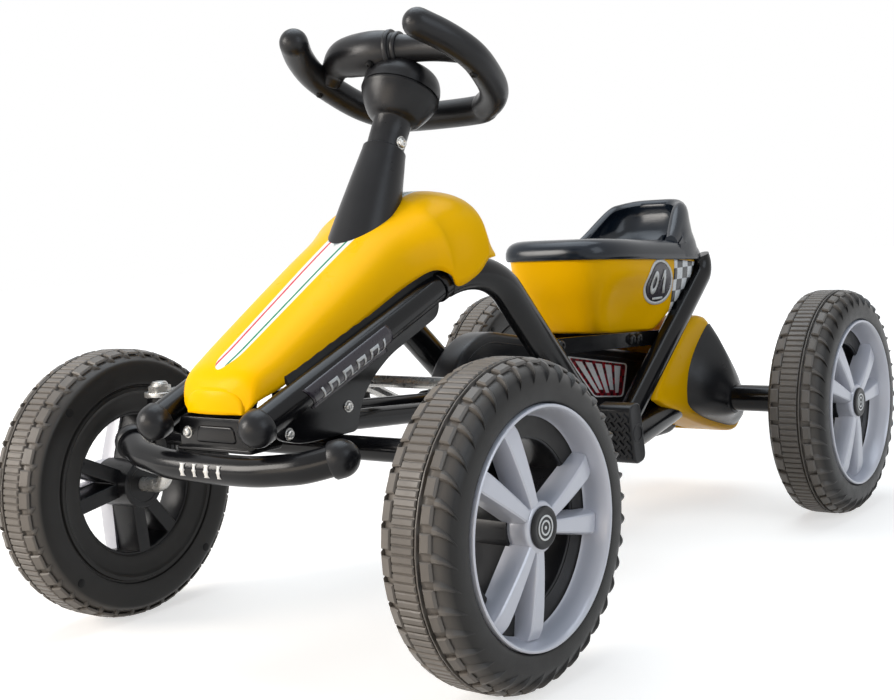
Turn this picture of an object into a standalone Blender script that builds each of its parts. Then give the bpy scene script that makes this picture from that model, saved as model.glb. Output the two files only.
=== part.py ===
"""Pedal go kart for a small child: bent tube frame, steered front axle, chain drive to the rear axle."""
import math

import bmesh
import bpy
from mathutils import Matrix, Vector

# ---------------------------------------------------------------- driving sizes, metres
WHEELBASE = 0.594
TRACK = 0.406               # between the middles of the left and right tyres
TYRE_R = 0.115
TYRE_W = 0.052
GAP = 0.0003                # between pieces that touch on the real kart
RUN = 0.0004                # radial running clearance of a shaft in its bush
WALL = 0.0025               # wall of the moulded shells

# wheels
RIM_R = 0.0837              # silver cover's lip
RIM_DEPTH = 0.0195          # the dish, lip to floor
RIM_OUT = 0.0314            # lip, outward from the tyre's middle
CAP_SEAT = RIM_OUT - 0.0045  # hub cap's seat, outward from the tyre's middle
SPOKE_W = 0.0125
SPOKE_T = 0.0145
SPOKE_SPLAY = math.radians(17)
TOE = math.radians(1.2)     # front wheels turned in at rest
WHEEL_STEPS = 24
WHEEL_HUB_R = 0.0185
WHEEL_HUB_IN = 0.030        # hub end, inward from the tyre's middle
WEB_R = 0.059               # windows of the inner web
WEB_IN = 0.021              # web face, inward from the tyre's middle
SHAFT_R = 0.006             # spindles and rear axle
HUB_CAP_R = 0.0148

# front axle and steering linkage
KINGPIN_X = 0.145
BEAM_R = 0.009
BEAM_UP = 0.045             # beam above the wheel centres
SLEEVE_R = 0.011
SLEEVE_LOW = 0.022
SLEEVE_TOP = 0.076
SPINDLE_BEND = 0.0135
ARM_LEN = 0.080             # kingpin to tie rod
ARM_T = 0.004
ARM_R = 0.013
NUT_T = 0.007
TIE_R = 0.005
EYE_R = 0.009
EYE_T = 0.005
STUD_R = 0.0035

# steering column, a line leaning back from the vertical
COLUMN_TILT = math.radians(28.5)
COLUMN_BACK = 0.104         # a point of the axis, behind and above the front wheel centres
COLUMN_UP = 0.209
COLUMN_R = 0.008
COLUMN_FOOT = -0.155        # along the axis from that point
COLUMN_TOP = 0.118
NECK_R = 0.0148
NECK_LOW = 0.060
HUB_LOW = 0.100
HUB_R = 0.0345
COVER_LOW = -0.046
COVER_TOP = 0.0686
COVER_BASE_R = 0.0322
COVER_TOP_R = 0.0172
COVER_LEAN = 0.0075         # base's middle, towards the driver from the column axis
WHEEL_PLANE = 0.1367        # steering wheel's plane along the axis
WHEEL_SHIFT = 0.0088        # steering wheel's middle, towards the driver from the axis
GRIP_R = 0.0125
BAR_R = 0.0135
BAR_FWD = 0.033
BAR_RISE = 0.015
HUB_TOP = 0.1465
BAR_SWELL = 1.08            # crossbar's middle, share of its radius
BRACKET_AT = -0.0856        # column bracket between the side tubes
BRACKET_T = 0.004
BUSH_R = 0.0125

# frame tubes
SIDE_R = 0.0115
SIDE_X = 0.053
SIDE_X_REAR = 0.0605
NOSE_OVERHANG = 0.087       # tube caps ahead of the front wheel centres
NOSE_UP = 0.072
SIDE_SLOPE = math.radians(22.2)
SIDE_REAR = 0.127           # rear end of the side tubes, behind the front wheel centres
CAP_R = 0.0137
CAP_SKIRT = 0.006
MAIN_R = 0.014
MAIN_BEND = 0.070
MAIN_LOW_X = 0.058
MAIN_END_X = 0.044
KNEE_BACK = 0.169           # corner of the main tube below the bonnet
KNEE_X = 0.074
LOW_AHEAD = 0.208           # lowest corner, ahead of the rear wheel centres
LOW_UP = -0.0255
REAR_TUBE_R = 0.0118
REAR_TOP_BACK = 0.009       # top corner of the rear tubes, behind the rear wheel centres
REAR_TOP_UP = 0.140
REAR_TIP = (0.0535, 0.000, 0.163)
RAIL_R = 0.008

# crank and chain
CRANK_BACK = 0.257          # crank centre behind the front wheel centres
CRANK_UP = 0.034
CRANK_R = 0.0055
CRANK_ARM = 0.061
CRANK_ARM_X = 0.0905
CRANK_ANGLE = math.radians(-25)
FRONT_TEETH = 25
REAR_TEETH = 16
CHAIN_PITCH = 0.0127
CHAIN_T = 0.0045
CHAIN_W = 0.006
SPROCKET_T = 0.003
CASE_FRONT_R = 0.067
CASE_REAR_R = 0.0435
CASE_HALF = 0.0135
HANGER_X = 0.0456          # middle of the crank hanger plates
HANGER_T = 0.004
BUSH_OUT = 0.0105
PEDAL_W = 0.034
PEDAL_H = 0.055
PEDAL_T = 0.025
PEDAL_TILT = math.radians(8)

# rear axle
HOUSING_R = 0.014
HOUSING_END = 0.040         # housing end, inward from the tyre's middle
BEARING_W = 0.010
FAIRING_HALF = 0.062
INSERT_OUT = 0.095

# seat, in a frame tilted with the seat
SEAT_AHEAD = 0.1045         # middle of the seat ahead of the rear wheel centres
SEAT_UP = 0.156
SEAT_TILT = math.radians(-3.4)
CUSHION_HALF = 0.067
CUSHION_LEN = 0.237
CUSHION_T = 0.024
TUB_HALF = 0.063
TUB_DEPTH = 0.073
SEAT_RAIL_H = 0.015
SEAT_RAIL_T = 0.004
SEAT_RAIL_X = 0.0438

# nose
BUMPER_R = 0.0112
BUMPER_UP = 0.0398
BUMPER_OVERHANG = 0.083
BUMPER_HALF = 0.108
BUMPER_SWEEP = 0.020
BUMPER_RISE = 0.011
PLATE_T = 0.004

FRONT_Y = -WHEELBASE / 2
REAR_Y = FRONT_Y + WHEELBASE
AXLE_Z = TYRE_R


# ---------------------------------------------------------------- scene and materials
for old in list(bpy.data.objects):
    bpy.data.objects.remove(old, do_unlink=True)

kart = bpy.data.collections.new("pedal_go_kart")
cutters = bpy.data.collections.new("cutters")
bpy.context.scene.collection.children.link(kart)
bpy.context.scene.collection.children.link(cutters)


def material(name, rgb, roughness, metallic=0.0):
    mat = bpy.data.materials.new(name)
    mat.use_nodes = True
    shader = mat.node_tree.nodes["Principled BSDF"]
    shader.inputs["Base Color"].default_value = (*rgb, 1.0)
    shader.inputs["Roughness"].default_value = roughness
    shader.inputs["Metallic"].default_value = metallic
    mat.diffuse_color = (*rgb, 1.0)
    return mat


YELLOW = material("yellow_gloss", (1.0, 0.57, 0.0), 0.22)
BLACK_TUBE = material("black_powder_coat", (0.016, 0.016, 0.018), 0.32)
BLACK_PLASTIC = material("black_plastic", (0.02, 0.02, 0.023), 0.38)
TREAD = material("black_tyre", (0.024, 0.023, 0.022), 0.6)
SILVER = material("silver_plastic", (0.27, 0.27, 0.30), 0.35, 0.4)
STEEL = material("zinc_steel", (0.55, 0.55, 0.55), 0.3, 1.0)


# ---------------------------------------------------------------- placing helpers
def front(x, back, up):
    """A point given from the front wheel centres."""
    return Vector((x, FRONT_Y + back, AXLE_Z + up))


def rear(x, back, up):
    """A point given from the rear wheel centres."""
    return Vector((x, REAR_Y + back, AXLE_Z + up))


def basis(origin, x_axis, y_axis, z_axis):
    m = Matrix((x_axis, y_axis, z_axis)).transposed().to_4x4()
    m.translation = origin
    return m


def side_plane(x):
    """Local x to the rear, local y up, local z to the driver's left."""
    return basis((x, 0, 0), (0, 1, 0), (0, 0, 1), (1, 0, 0))


LEAN = Vector((0, math.sin(COLUMN_TILT), math.cos(COLUMN_TILT)))
TOWARD = Vector((0, math.cos(COLUMN_TILT), -math.sin(COLUMN_TILT)))
COLUMN_POINT = front(0, COLUMN_BACK, COLUMN_UP)


def column_plane(along, toward=0.0):
    """Local x across, local y towards the driver, local z up the column."""
    return basis(COLUMN_POINT + LEAN * along + TOWARD * toward, (1, 0, 0), TOWARD, LEAN)


SEAT_FRAME = Matrix.Translation(rear(0, -SEAT_AHEAD, SEAT_UP)) @ Matrix.Rotation(SEAT_TILT, 4, "X")


def empty(name, at):
    axis = bpy.data.objects.new(name, None)
    axis.location = at
    axis.empty_display_size = 0.02
    kart.objects.link(axis)
    bpy.context.view_layer.update()
    return axis


def add(name, data, mat, place=None, parent=None):
    obj = bpy.data.objects.new(name, data)
    if mat and not data.materials:
        data.materials.append(mat)
    kart.objects.link(obj)
    if place is not None:
        obj.matrix_world = place
    if parent:
        obj.parent = parent
        obj.matrix_parent_inverse = parent.matrix_world.inverted()
    return obj


def as_cutter(obj):
    for home in list(obj.users_collection):
        home.objects.unlink(obj)
    cutters.objects.link(obj)
    obj.hide_render = True
    obj.display_type = "WIRE"
    return obj


def boolean(obj, other, operation):
    mod = obj.modifiers.new(operation.lower(), "BOOLEAN")
    mod.operation = operation
    mod.solver = "EXACT"
    mod.object = as_cutter(other)
    return obj


def cut(obj, *others):
    for other in others:
        boolean(obj, other, "DIFFERENCE")
    return obj


def join(obj, *others):
    for other in others:
        boolean(obj, other, "UNION")
    return obj


def baked_mesh(obj):
    """The object's evaluated shape as a plain welded mesh."""
    bpy.context.view_layer.update()
    graph = bpy.context.evaluated_depsgraph_get()
    mesh = bpy.data.meshes.new_from_object(obj.evaluated_get(graph))
    bm = bmesh.new()
    bm.from_mesh(mesh)
    bmesh.ops.remove_doubles(bm, verts=bm.verts, dist=1e-6)
    bm.to_mesh(mesh)
    bm.free()
    mesh.set_sharp_from_angle(angle=math.radians(35))
    return mesh


def meshed(obj):
    """The curve object turned into a mesh object that a Boolean can use."""
    mesh = baked_mesh(obj)
    solid = bpy.data.objects.new(obj.name, mesh)
    kart.objects.link(solid)
    solid.matrix_world = obj.matrix_world
    data = obj.data
    name, parent = obj.name, obj.parent
    bpy.data.objects.remove(obj, do_unlink=True)
    bpy.data.curves.remove(data)
    solid.name = name
    if parent:
        solid.parent = parent
        solid.matrix_parent_inverse = parent.matrix_world.inverted()
    return solid


# ---------------------------------------------------------------- shape helpers
def rod(name, start, end, radius, mat=None, parent=None, sides=16):
    """A straight round bar from one point to the other."""
    start, end = Vector(start), Vector(end)
    axis = end - start
    bm = bmesh.new()
    bmesh.ops.create_cone(bm, cap_ends=True, segments=sides, radius1=radius, radius2=radius,
                          depth=axis.length)
    mesh = bpy.data.meshes.new(name)
    bm.to_mesh(mesh)
    bm.free()
    mesh.shade_smooth()
    mesh.set_sharp_from_angle(angle=math.radians(35))
    turn = Vector((0, 0, 1)).rotation_difference(axis).to_matrix().to_4x4()
    return add(name, mesh, mat, Matrix.Translation((start + end) / 2) @ turn, parent)


def block(name, low, high, mat=None, parent=None, place=None):
    bm = bmesh.new()
    bmesh.ops.create_cube(bm, size=1.0)
    low, high = Vector(low), Vector(high)
    size = high - low
    bmesh.ops.scale(bm, vec=size, verts=bm.verts)
    bmesh.ops.translate(bm, vec=(low + high) / 2, verts=bm.verts)
    mesh = bpy.data.meshes.new(name)
    bm.to_mesh(mesh)
    bm.free()
    return add(name, mesh, mat, place or Matrix.Identity(4), parent)


def rounded(points, radius, steps=5):
    """The corner points of a path with each inner corner replaced by an arc."""
    points = [Vector(p) for p in points]
    path = [points[0]]
    for before, corner, after in zip(points, points[1:], points[2:]):
        into = (before - corner).normalized()
        out = (after - corner).normalized()
        half = into.angle(out) / 2
        reach = radius / math.tan(half)
        middle = corner + (into + out).normalized() * (radius / math.sin(half))
        first = corner + into * reach - middle
        last = corner + out * reach - middle
        sweep = first.angle(last)
        for i in range(steps + 1):
            f = i / steps
            path.append(middle + (first * math.sin((1 - f) * sweep) + last * math.sin(f * sweep))
                        / math.sin(sweep))
    path.append(points[-1])
    return path


def round_ended(path, radius):
    """The path with its ends drawn in to a dome; each point carries a share of the tube's radius."""
    full = [(*p, 1.0) for p in path]
    first, last = [], []
    for share in (0.35, 0.7):
        reach = radius * share
        size = math.sqrt(1 - share * share)
        first.insert(0, (*(path[0] + (path[0] - path[1]).normalized() * reach), size))
        last.append((*(path[-1] + (path[-1] - path[-2]).normalized() * reach), size))
    return first + full + last


def tube(name, path, radius, mat, parent=None, resolution=4):
    """A round tube along a path, as a bevelled curve with closed ends; a fourth number scales the radius."""
    curve = bpy.data.curves.new(name, "CURVE")
    curve.dimensions = "3D"
    curve.bevel_depth = radius
    curve.bevel_resolution = resolution
    curve.use_fill_caps = True
    spline = curve.splines.new("POLY")
    spline.points.add(len(path) - 1)
    for point, at in zip(spline.points, path):
        point.co = (*at[:3], 1)
        point.radius = at[3] if len(at) > 3 else 1.0
    return add(name, curve, mat, Matrix.Identity(4), parent)


def plate(name, outlines, thickness, place, mat=None, parent=None):
    """A flat plate: the first outline is its edge, the others are holes."""
    curve = bpy.data.curves.new(name, "CURVE")
    curve.dimensions = "2D"
    curve.fill_mode = "BOTH"
    curve.extrude = thickness / 2
    for outline in outlines:
        spline = curve.splines.new("POLY")
        spline.points.add(len(outline) - 1)
        for point, (x, y) in zip(spline.points, outline):
            point.co = (x, y, 0, 1)
        spline.use_cyclic_u = True
    return add(name, curve, mat, place, parent)


def circle(x, y, radius, steps=20):
    return [(x + radius * math.cos(2 * math.pi * i / steps), y + radius * math.sin(2 * math.pi * i / steps))
            for i in range(steps)]


def hull(points):
    """The convex outline round a set of points, anticlockwise."""
    points = sorted(set((round(x, 7), round(y, 7)) for x, y in points))

    def chain(order):
        line = []
        for p in order:
            while len(line) > 1 and ((line[-1][0] - line[-2][0]) * (p[1] - line[-2][1])
                                     - (line[-1][1] - line[-2][1]) * (p[0] - line[-2][0])) <= 1e-12:
                line.pop()
            line.append(p)
        return line[:-1]

    return chain(points) + chain(reversed(points))


def belt(discs, grow=0.0, steps=24):
    """The outline of a tight belt round discs given as (x, y, radius)."""
    return hull([p for x, y, r in discs for p in circle(x, y, r + grow, steps)])


def bore(name, start, end, radius, sides=16):
    """A cutter whose flats leave the full radius clear."""
    return rod(name, start, end, radius / math.cos(math.pi / sides), sides=sides)


def turned(name, profile, place, mat=None, parent=None, steps=32, ring=False):
    """A profile of (radius, height) turned round the local z axis, outer side from top to bottom."""
    mesh = bpy.data.meshes.new(name)
    edges = [(i, i + 1) for i in range(len(profile) - 1)]
    if ring:
        edges.append((len(profile) - 1, 0))
    mesh.from_pydata([(r, 0, h) for r, h in profile], edges, [])
    obj = add(name, mesh, mat, place, parent)
    screw = obj.modifiers.new("turn", "SCREW")
    screw.axis = "Z"
    screw.steps = screw.render_steps = steps
    screw.use_merge_vertices = True
    screw.merge_threshold = 1e-5
    screw.use_smooth_shade = True
    return obj


def loft(name, sections, place, mat=None, parent=None, closed=True, caps="both", nose=False):
    """Quads between rows of points; closed rows are loops, and caps fill the first and last."""
    bm = bmesh.new()
    rows = [[bm.verts.new(p) for p in row] for row in sections]
    count = len(rows[0])
    last = count if closed else count - 1
    for low, high in zip(rows, rows[1:]):
        for i in range(last):
            j = (i + 1) % count
            bm.faces.new((low[i], low[j], high[j], high[i]))
    if nose or (closed and caps == "both"):
        bm.faces.new(reversed(rows[0]))
    if closed and caps != "none":
        bm.faces.new(rows[-1])
    bmesh.ops.remove_doubles(bm, verts=bm.verts, dist=1e-6)
    bmesh.ops.recalc_face_normals(bm, faces=bm.faces)
    bm.normal_update()
    if not closed and max(bm.faces, key=lambda f: f.calc_center_median().z).normal.z < 0:
        bmesh.ops.reverse_faces(bm, faces=bm.faces)
    mesh = bpy.data.meshes.new(name)
    bm.to_mesh(mesh)
    bm.free()
    mesh.shade_smooth()
    mesh.set_sharp_from_angle(angle=math.radians(35))
    return add(name, mesh, mat, place, parent)


def thicken(obj, thickness, offset=-1.0):
    solid = obj.modifiers.new("wall", "SOLIDIFY")
    solid.thickness = thickness
    solid.offset = offset
    solid.use_even_offset = True
    return obj


def squircle(half_x, half_y, powers, steps, mid_x=0.0, mid_y=0.0):
    """A rounded rectangle as a superellipse, with its own squareness in front and behind."""
    outline = []
    for i in range(steps):
        a = 2 * math.pi * (i + 0.5) / steps
        c, s = math.cos(a), math.sin(a)
        power = powers[1] if s > 0 else powers[0]
        outline.append((mid_x + half_x * math.copysign(abs(c) ** (2 / power), c),
                        mid_y + half_y * math.copysign(abs(s) ** (2 / power), s)))
    return outline


SIDES = (("left", 1), ("right", -1))

# ---------------------------------------------------------------- joint axes
steer_axis = empty("steering_axis", COLUMN_POINT)
knuckle_axis = {side: empty(f"knuckle_axis_{side}", front(s * KINGPIN_X, 0, 0)) for side, s in SIDES}
tie_axis = empty("tie_rod_axis", front(KINGPIN_X, ARM_LEN, 0))
CRANK = front(0, CRANK_BACK, CRANK_UP)
crank_axis = empty("crank_axis", CRANK)
rear_axis = empty("rear_axle_axis", rear(0, 0, 0))


# ---------------------------------------------------------------- wheels
def tyre_mesh():
    """Blow-moulded tyre with its spoked inner web and hub, axis along local z, outside up."""
    half, seat = TYRE_W / 2, RIM_OUT - RIM_DEPTH - GAP
    bead = RIM_R - 0.0012
    seat_r = RIM_R + GAP + 0.0002
    profile = [(seat_r, half + 0.0042), (TYRE_R - 0.018, half + 0.0036), (TYRE_R - 0.0045, half - 0.0028),
               (TYRE_R, half - 0.013), (TYRE_R, -half + 0.013), (TYRE_R - 0.0045, -half + 0.0040),
               (TYRE_R - 0.018, -half), (bead - 0.001, -half + 0.001), (WEB_R + 0.004, -WEB_IN),
               (WEB_R + 0.002, -WEB_IN + 0.001), (WEB_R + 0.002, seat), (seat_r, seat)]
    body = turned("tyre", profile, Matrix.Identity(4), TREAD, steps=WHEEL_STEPS, ring=True)
    web_t = seat - 0.001 + WEB_IN - 0.002
    web = plate("web", spoke_outlines(WEB_R + 0.004, WHEEL_HUB_R + 0.002, SPOKE_W), web_t,
                Matrix.Translation((0, 0, seat - 0.001 - web_t / 2)))
    hub = rod("hub", (0, 0, -WHEEL_HUB_IN), (0, 0, seat - 0.0012), WHEEL_HUB_R + 0.002)
    hole = bore("hole", (0, 0, -0.1), (0, 0, 0.1), SHAFT_R + RUN)
    cut(join(body, meshed(web), hub), hole)
    return baked_mesh(body)


def spoke_outlines(outer, hub, width):
    """A disc with three pairs of spokes: its edge, then its six windows."""
    inner = outer - 0.004
    pair, rest = 2 * SPOKE_SPLAY, 2 * math.pi / 3 - 2 * SPOKE_SPLAY
    windows = []
    for k in range(3):
        for middle, spread in ((2 * math.pi * k / 3, pair), (2 * math.pi * k / 3 + math.pi / 3, rest)):
            rim_half = spread / 2 - math.asin(width / 2 / inner)
            start = max(hub, width / 2 / math.sin(spread / 2) + 0.001)
            hub_half = spread / 2 - math.asin(min(1.0, width / 2 / start))
            steps = 1 if spread < 1 else 3
            arc = [(inner, middle - rim_half + 2 * rim_half * i / steps) for i in range(steps + 1)]
            root = [(start, middle + hub_half), (start, middle - hub_half)]
            windows.append([(r * math.cos(a), r * math.sin(a)) for r, a in arc + root])
    return [circle(0, 0, outer, WHEEL_STEPS)] + windows


def rim_mesh():
    """Silver wheel cover: lip, dish and six spokes."""
    floor = RIM_OUT - RIM_DEPTH
    dish = RIM_R - 0.0035
    profile = [(RIM_R, RIM_OUT), (RIM_R, floor), (dish - 0.004, floor), (dish, RIM_OUT)]
    body = turned("rim", profile, Matrix.Identity(4), SILVER, steps=WHEEL_STEPS, ring=True)
    star = plate("spokes", spoke_outlines(dish - 0.001, WHEEL_HUB_R, SPOKE_W), SPOKE_T,
                 Matrix.Translation((0, 0, floor + SPOKE_T / 2)))
    boss = rod("boss", (0, 0, floor + 0.0002), (0, 0, CAP_SEAT), WHEEL_HUB_R)
    hole = bore("hole", (0, 0, -0.1), (0, 0, 0.1), SHAFT_R + RUN)
    cut(join(body, meshed(star), boss), hole)
    return baked_mesh(body)


def hub_cap_mesh():
    base = CAP_SEAT + GAP
    profile = [(0, base + 0.003), (HUB_CAP_R - 0.002, base + 0.0027), (HUB_CAP_R, base + 0.0015),
               (HUB_CAP_R, base), (0, base)]
    return baked_mesh(turned("cap", profile, Matrix.Identity(4), BLACK_PLASTIC, steps=20))


WHEEL_PARTS = (("tyre", tyre_mesh()), ("rim", rim_mesh()), ("hub_cap", hub_cap_mesh()))
for scratch in ("tyre", "web", "hub", "hole", "rim", "spokes", "boss", "cap", "hole.001"):
    spare = bpy.data.objects.get(scratch)
    if spare:
        bpy.data.objects.remove(spare, do_unlink=True)


PHASE = {"front_left": 7, "front_right": 8, "rear_left": 21, "rear_right": 14}       # spokes at rest, degrees


def wheel(axle, side, centre, parent):
    """Tyre, cover and cap at a wheel centre's frame; the right one is the left one turned round."""
    sign = 1 if side == "left" else -1
    turn = Matrix.Rotation(math.radians(PHASE[f"{axle}_{side}"]), 4, "Z")
    place = centre @ basis((0, 0, 0), (0, sign, 0), (0, 0, 1), (sign, 0, 0)) @ turn
    for piece, mesh in WHEEL_PARTS:
        add(f"{piece}_{axle}_{side}", mesh, None, place, parent)


# ---------------------------------------------------------------- front axle
def front_beam():
    """Cross beam with a kingpin sleeve welded to each end."""
    z = BEAM_UP
    beam = rod("front_beam", front(-KINGPIN_X, 0, z), front(KINGPIN_X, 0, z), BEAM_R, BLACK_TUBE)
    for _, s in SIDES:
        join(beam, rod("sleeve", front(s * KINGPIN_X, 0, SLEEVE_LOW), front(s * KINGPIN_X, 0, SLEEVE_TOP),
                       SLEEVE_R))
        cut(beam, bore("pin_hole", front(s * KINGPIN_X, 0, 0), front(s * KINGPIN_X, 0, 0.12), SHAFT_R + RUN))
    return beam


SPINDLE_PAST = RIM_OUT - 0.0075         # spindle's end past the tyre's middle
ARM_BASE = SLEEVE_TOP + GAP
TIE_UP = ARM_BASE + ARM_T + GAP + EYE_T / 2
SPINDLE_TOP = ARM_BASE + ARM_T + GAP + NUT_T + 0.0015


def spindle_point(s, out):
    """A point of the front spindle's line at a distance outward from the kingpin."""
    return front(s * (KINGPIN_X + out * math.cos(TOE)), -out * math.sin(TOE), 0)


def wheel_empty(name, at, turn, parent):
    axis = empty(name, at)
    axis.rotation_euler = (0, 0, turn)
    axis.parent = parent
    axis.matrix_parent_inverse = parent.matrix_world.inverted()
    bpy.context.view_layer.update()
    return axis


def knuckle(side, s):
    """Bent spindle, steering arm with its stud, and kingpin nut."""
    axis = knuckle_axis[side]
    x = s * KINGPIN_X
    hub = wheel_empty(f"front_{side}_spin_axis", spindle_point(s, TRACK / 2 - KINGPIN_X), -s * TOE, axis)
    tip = spindle_point(s, TRACK / 2 + SPINDLE_PAST - KINGPIN_X)
    path = rounded([front(x, 0, SPINDLE_TOP), front(x, 0, 0), tip], SPINDLE_BEND, 3)
    spindle = meshed(tube(f"spindle_{side}", path, SHAFT_R, STEEL, axis))
    join(spindle, rod("collar", front(x, 0, SLEEVE_LOW - GAP - 0.005), front(x, 0, SLEEVE_LOW - GAP),
                      SHAFT_R + 0.0035))
    shape = belt(((0, 0, ARM_R), (0, ARM_LEN, EYE_R)), steps=24)
    arm = meshed(plate(f"steering_arm_{side}", [shape, circle(0, 0, SHAFT_R + RUN + 0.0001)], ARM_T,
                       Matrix.Translation(front(x, 0, ARM_BASE + ARM_T / 2)), STEEL, axis))
    join(arm, rod("stud", front(x, ARM_LEN, ARM_BASE + 0.001), front(x, ARM_LEN, TIE_UP + EYE_T / 2 + 0.003),
                  STUD_R, sides=16))
    plate(f"kingpin_nut_{side}", [circle(0, 0, 0.0095, 6), circle(0, 0, SHAFT_R + RUN, 20)], NUT_T,
          Matrix.Translation(front(x, 0, ARM_BASE + ARM_T + GAP + NUT_T / 2)), STEEL, axis)
    wheel("front", side, hub.matrix_world, hub)


front_beam()
for side, s in SIDES:
    knuckle(side, s)

# the pitman pin meets the tie rod where the rod crosses the kart's middle
PIN_FROM_AXIS = (ARM_LEN - COLUMN_BACK) * TOWARD.y + (TIE_UP - COLUMN_UP) * TOWARD.z
PIN_ALONG = (ARM_LEN - COLUMN_BACK) * LEAN.y + (TIE_UP - COLUMN_UP) * LEAN.z
SLOT_HALF = STUD_R + 0.0022
SLOT_AHEAD = 0.0165
SLOT_BEHIND = 0.0070


def tie_rod():
    """Rod between the two steering arms, with a slotted plate for the pitman pin."""
    end = KINGPIN_X
    body = rod("tie_rod", front(-end, ARM_LEN, TIE_UP), front(end, ARM_LEN, TIE_UP), TIE_R - 0.0001,
               STEEL, tie_axis, sides=16)
    edge = 0.0045
    slab = block("slot_plate", front(-SLOT_HALF - 0.008, ARM_LEN - SLOT_AHEAD - edge, TIE_UP - EYE_T / 2),
                 front(SLOT_HALF + 0.008, ARM_LEN + SLOT_BEHIND + edge, TIE_UP + EYE_T / 2))
    join(body, slab)
    for _, s in SIDES:
        eye = rod("eye", front(s * end, ARM_LEN, TIE_UP - EYE_T / 2), front(s * end, ARM_LEN, TIE_UP + EYE_T / 2),
                  EYE_R)
        trim = 0.0125
        join(body, eye)
        cut(body, block("flat_low", front(s * end - trim, ARM_LEN - trim, TIE_UP - 0.02),
                        front(s * end + trim, ARM_LEN + trim, TIE_UP - EYE_T / 2)),
            block("flat_high", front(s * end - trim, ARM_LEN - trim, TIE_UP + EYE_T / 2),
                  front(s * end + trim, ARM_LEN + trim, TIE_UP + 0.02)),
            bore("eye_hole", front(s * end, ARM_LEN, 0), front(s * end, ARM_LEN, 0.2), STUD_R + RUN, 16))
    slot = block("slot", front(-SLOT_HALF, ARM_LEN - SLOT_AHEAD, TIE_UP - 0.01),
                 front(SLOT_HALF, ARM_LEN + SLOT_BEHIND, TIE_UP + 0.01))
    return cut(body, slot)


tie_rod()


# ---------------------------------------------------------------- steering column and wheel
def on_column(along, toward=0.0, x=0.0):
    return COLUMN_POINT + LEAN * along + TOWARD * toward + Vector((x, 0, 0))


def steering_column():
    """Column rod with the pitman arm welded near its foot; the arm's pin drops through the tie rod's slot."""
    high = PIN_ALONG + 0.0135
    column = rod("steering_column", on_column(COLUMN_FOOT), on_column(COLUMN_TOP), COLUMN_R, STEEL, steer_axis)
    shape = belt(((0, 0, 0.0135), (0, PIN_FROM_AXIS, 0.008)), steps=24)
    join(column, meshed(plate("pitman", [shape], 0.004, column_plane(high))))
    return join(column, rod("pin", on_column(PIN_ALONG - 0.015, PIN_FROM_AXIS), on_column(high, PIN_FROM_AXIS),
                            STUD_R, sides=16))


def steering_wheel():
    """Open-topped grip ring and its raised crossbar."""
    right = [(0.036, -0.0500), (0.066, -0.0335), (0.0805, -0.0080), (0.0865, 0.0240), (0.0845, 0.0540),
             (0.0725, 0.0810)]
    outline = [(-x, s) for x, s in reversed(right)] + right
    ring = rounded([on_column(WHEEL_PLANE, WHEEL_SHIFT - s, x) for x, s in outline], 0.011, 2)
    grip = meshed(tube("steering_wheel", round_ended(ring, GRIP_R), GRIP_R, BLACK_PLASTIC, steer_axis))
    arch = [(-0.084, 0.018, 0.0), (-0.071, 0.024, 0.010), (-0.044, BAR_FWD, BAR_RISE),
            (0.044, BAR_FWD, BAR_RISE), (0.071, 0.024, 0.010), (0.084, 0.018, 0.0)]
    swell = (0.8, 0.9, BAR_SWELL, BAR_SWELL, 0.9, 0.8)
    bar = meshed(tube("crossbar", [(*on_column(WHEEL_PLANE + h, WHEEL_SHIFT - s, x), r)
                                   for (x, s, h), r in zip(arch, swell)], BAR_R, None))
    return join(grip, bar)


def steering_hub():
    """Neck that slips over the column, swelling into the cup below the crossbar."""
    sleeve = COLUMN_R + GAP + 0.0002
    profile = [(HUB_R - 0.008, HUB_TOP), (HUB_R, HUB_TOP - 0.008), (HUB_R, HUB_TOP - 0.023),
               (HUB_R - 0.006, HUB_LOW + 0.011), (NECK_R + 0.002, HUB_LOW), (NECK_R, HUB_LOW),
               (NECK_R, NECK_LOW), (sleeve, NECK_LOW), (sleeve, COLUMN_TOP + GAP), (0, COLUMN_TOP + GAP)]
    hub = turned("steering_hub", [(0, HUB_TOP)] + profile, column_plane(0), BLACK_PLASTIC, steer_axis, 20)
    seat = [on_column(WHEEL_PLANE + BAR_RISE, WHEEL_SHIFT - BAR_FWD, x) for x in (-0.05, 0.05)]
    return cut(hub, rod("bar_seat", *seat, BAR_R * BAR_SWELL + GAP))


def cover_ring(along, radius, shift):
    """Level circle of the cover's cone in the column's plane."""
    return [(x, y, along) for x, y in circle(0, shift, radius, 24)]


def column_cover():
    """Fixed cone that closes the bonnet round the column, a little more upright than the column."""
    inside = NECK_R + 0.0007
    rings = ((COVER_LOW, COVER_BASE_R - WALL, COVER_LEAN), (COVER_LOW, COVER_BASE_R, COVER_LEAN),
             (COVER_TOP, COVER_TOP_R, 0), (COVER_TOP, inside, 0), (COVER_TOP - 0.004, inside, 0))
    rows = [cover_ring(*ring) for ring in rings]
    return loft("column_cover", rows + rows[:1], column_plane(0), BLACK_PLASTIC, caps="none")


steering_column()
steering_wheel()
steering_hub()
column_cover()


# ---------------------------------------------------------------- frame tubes
def side_height(back):
    """Side tube's centre above the wheel centres at a distance behind the front axle."""
    return NOSE_UP + (back + NOSE_OVERHANG) * math.tan(SIDE_SLOPE)


def side_x(back):
    return SIDE_X + (SIDE_X_REAR - SIDE_X) * (back + NOSE_OVERHANG) / (SIDE_REAR + NOSE_OVERHANG)


LOW_CORNER = rear(MAIN_LOW_X, -LOW_AHEAD, LOW_UP)
KNEE = front(KNEE_X, KNEE_BACK, side_height(KNEE_BACK))
MAIN_START = front(side_x(SIDE_REAR), SIDE_REAR + GAP, side_height(SIDE_REAR))


def mirrored(point, s):
    return Vector((s * point.x, point.y, point.z))


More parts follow.
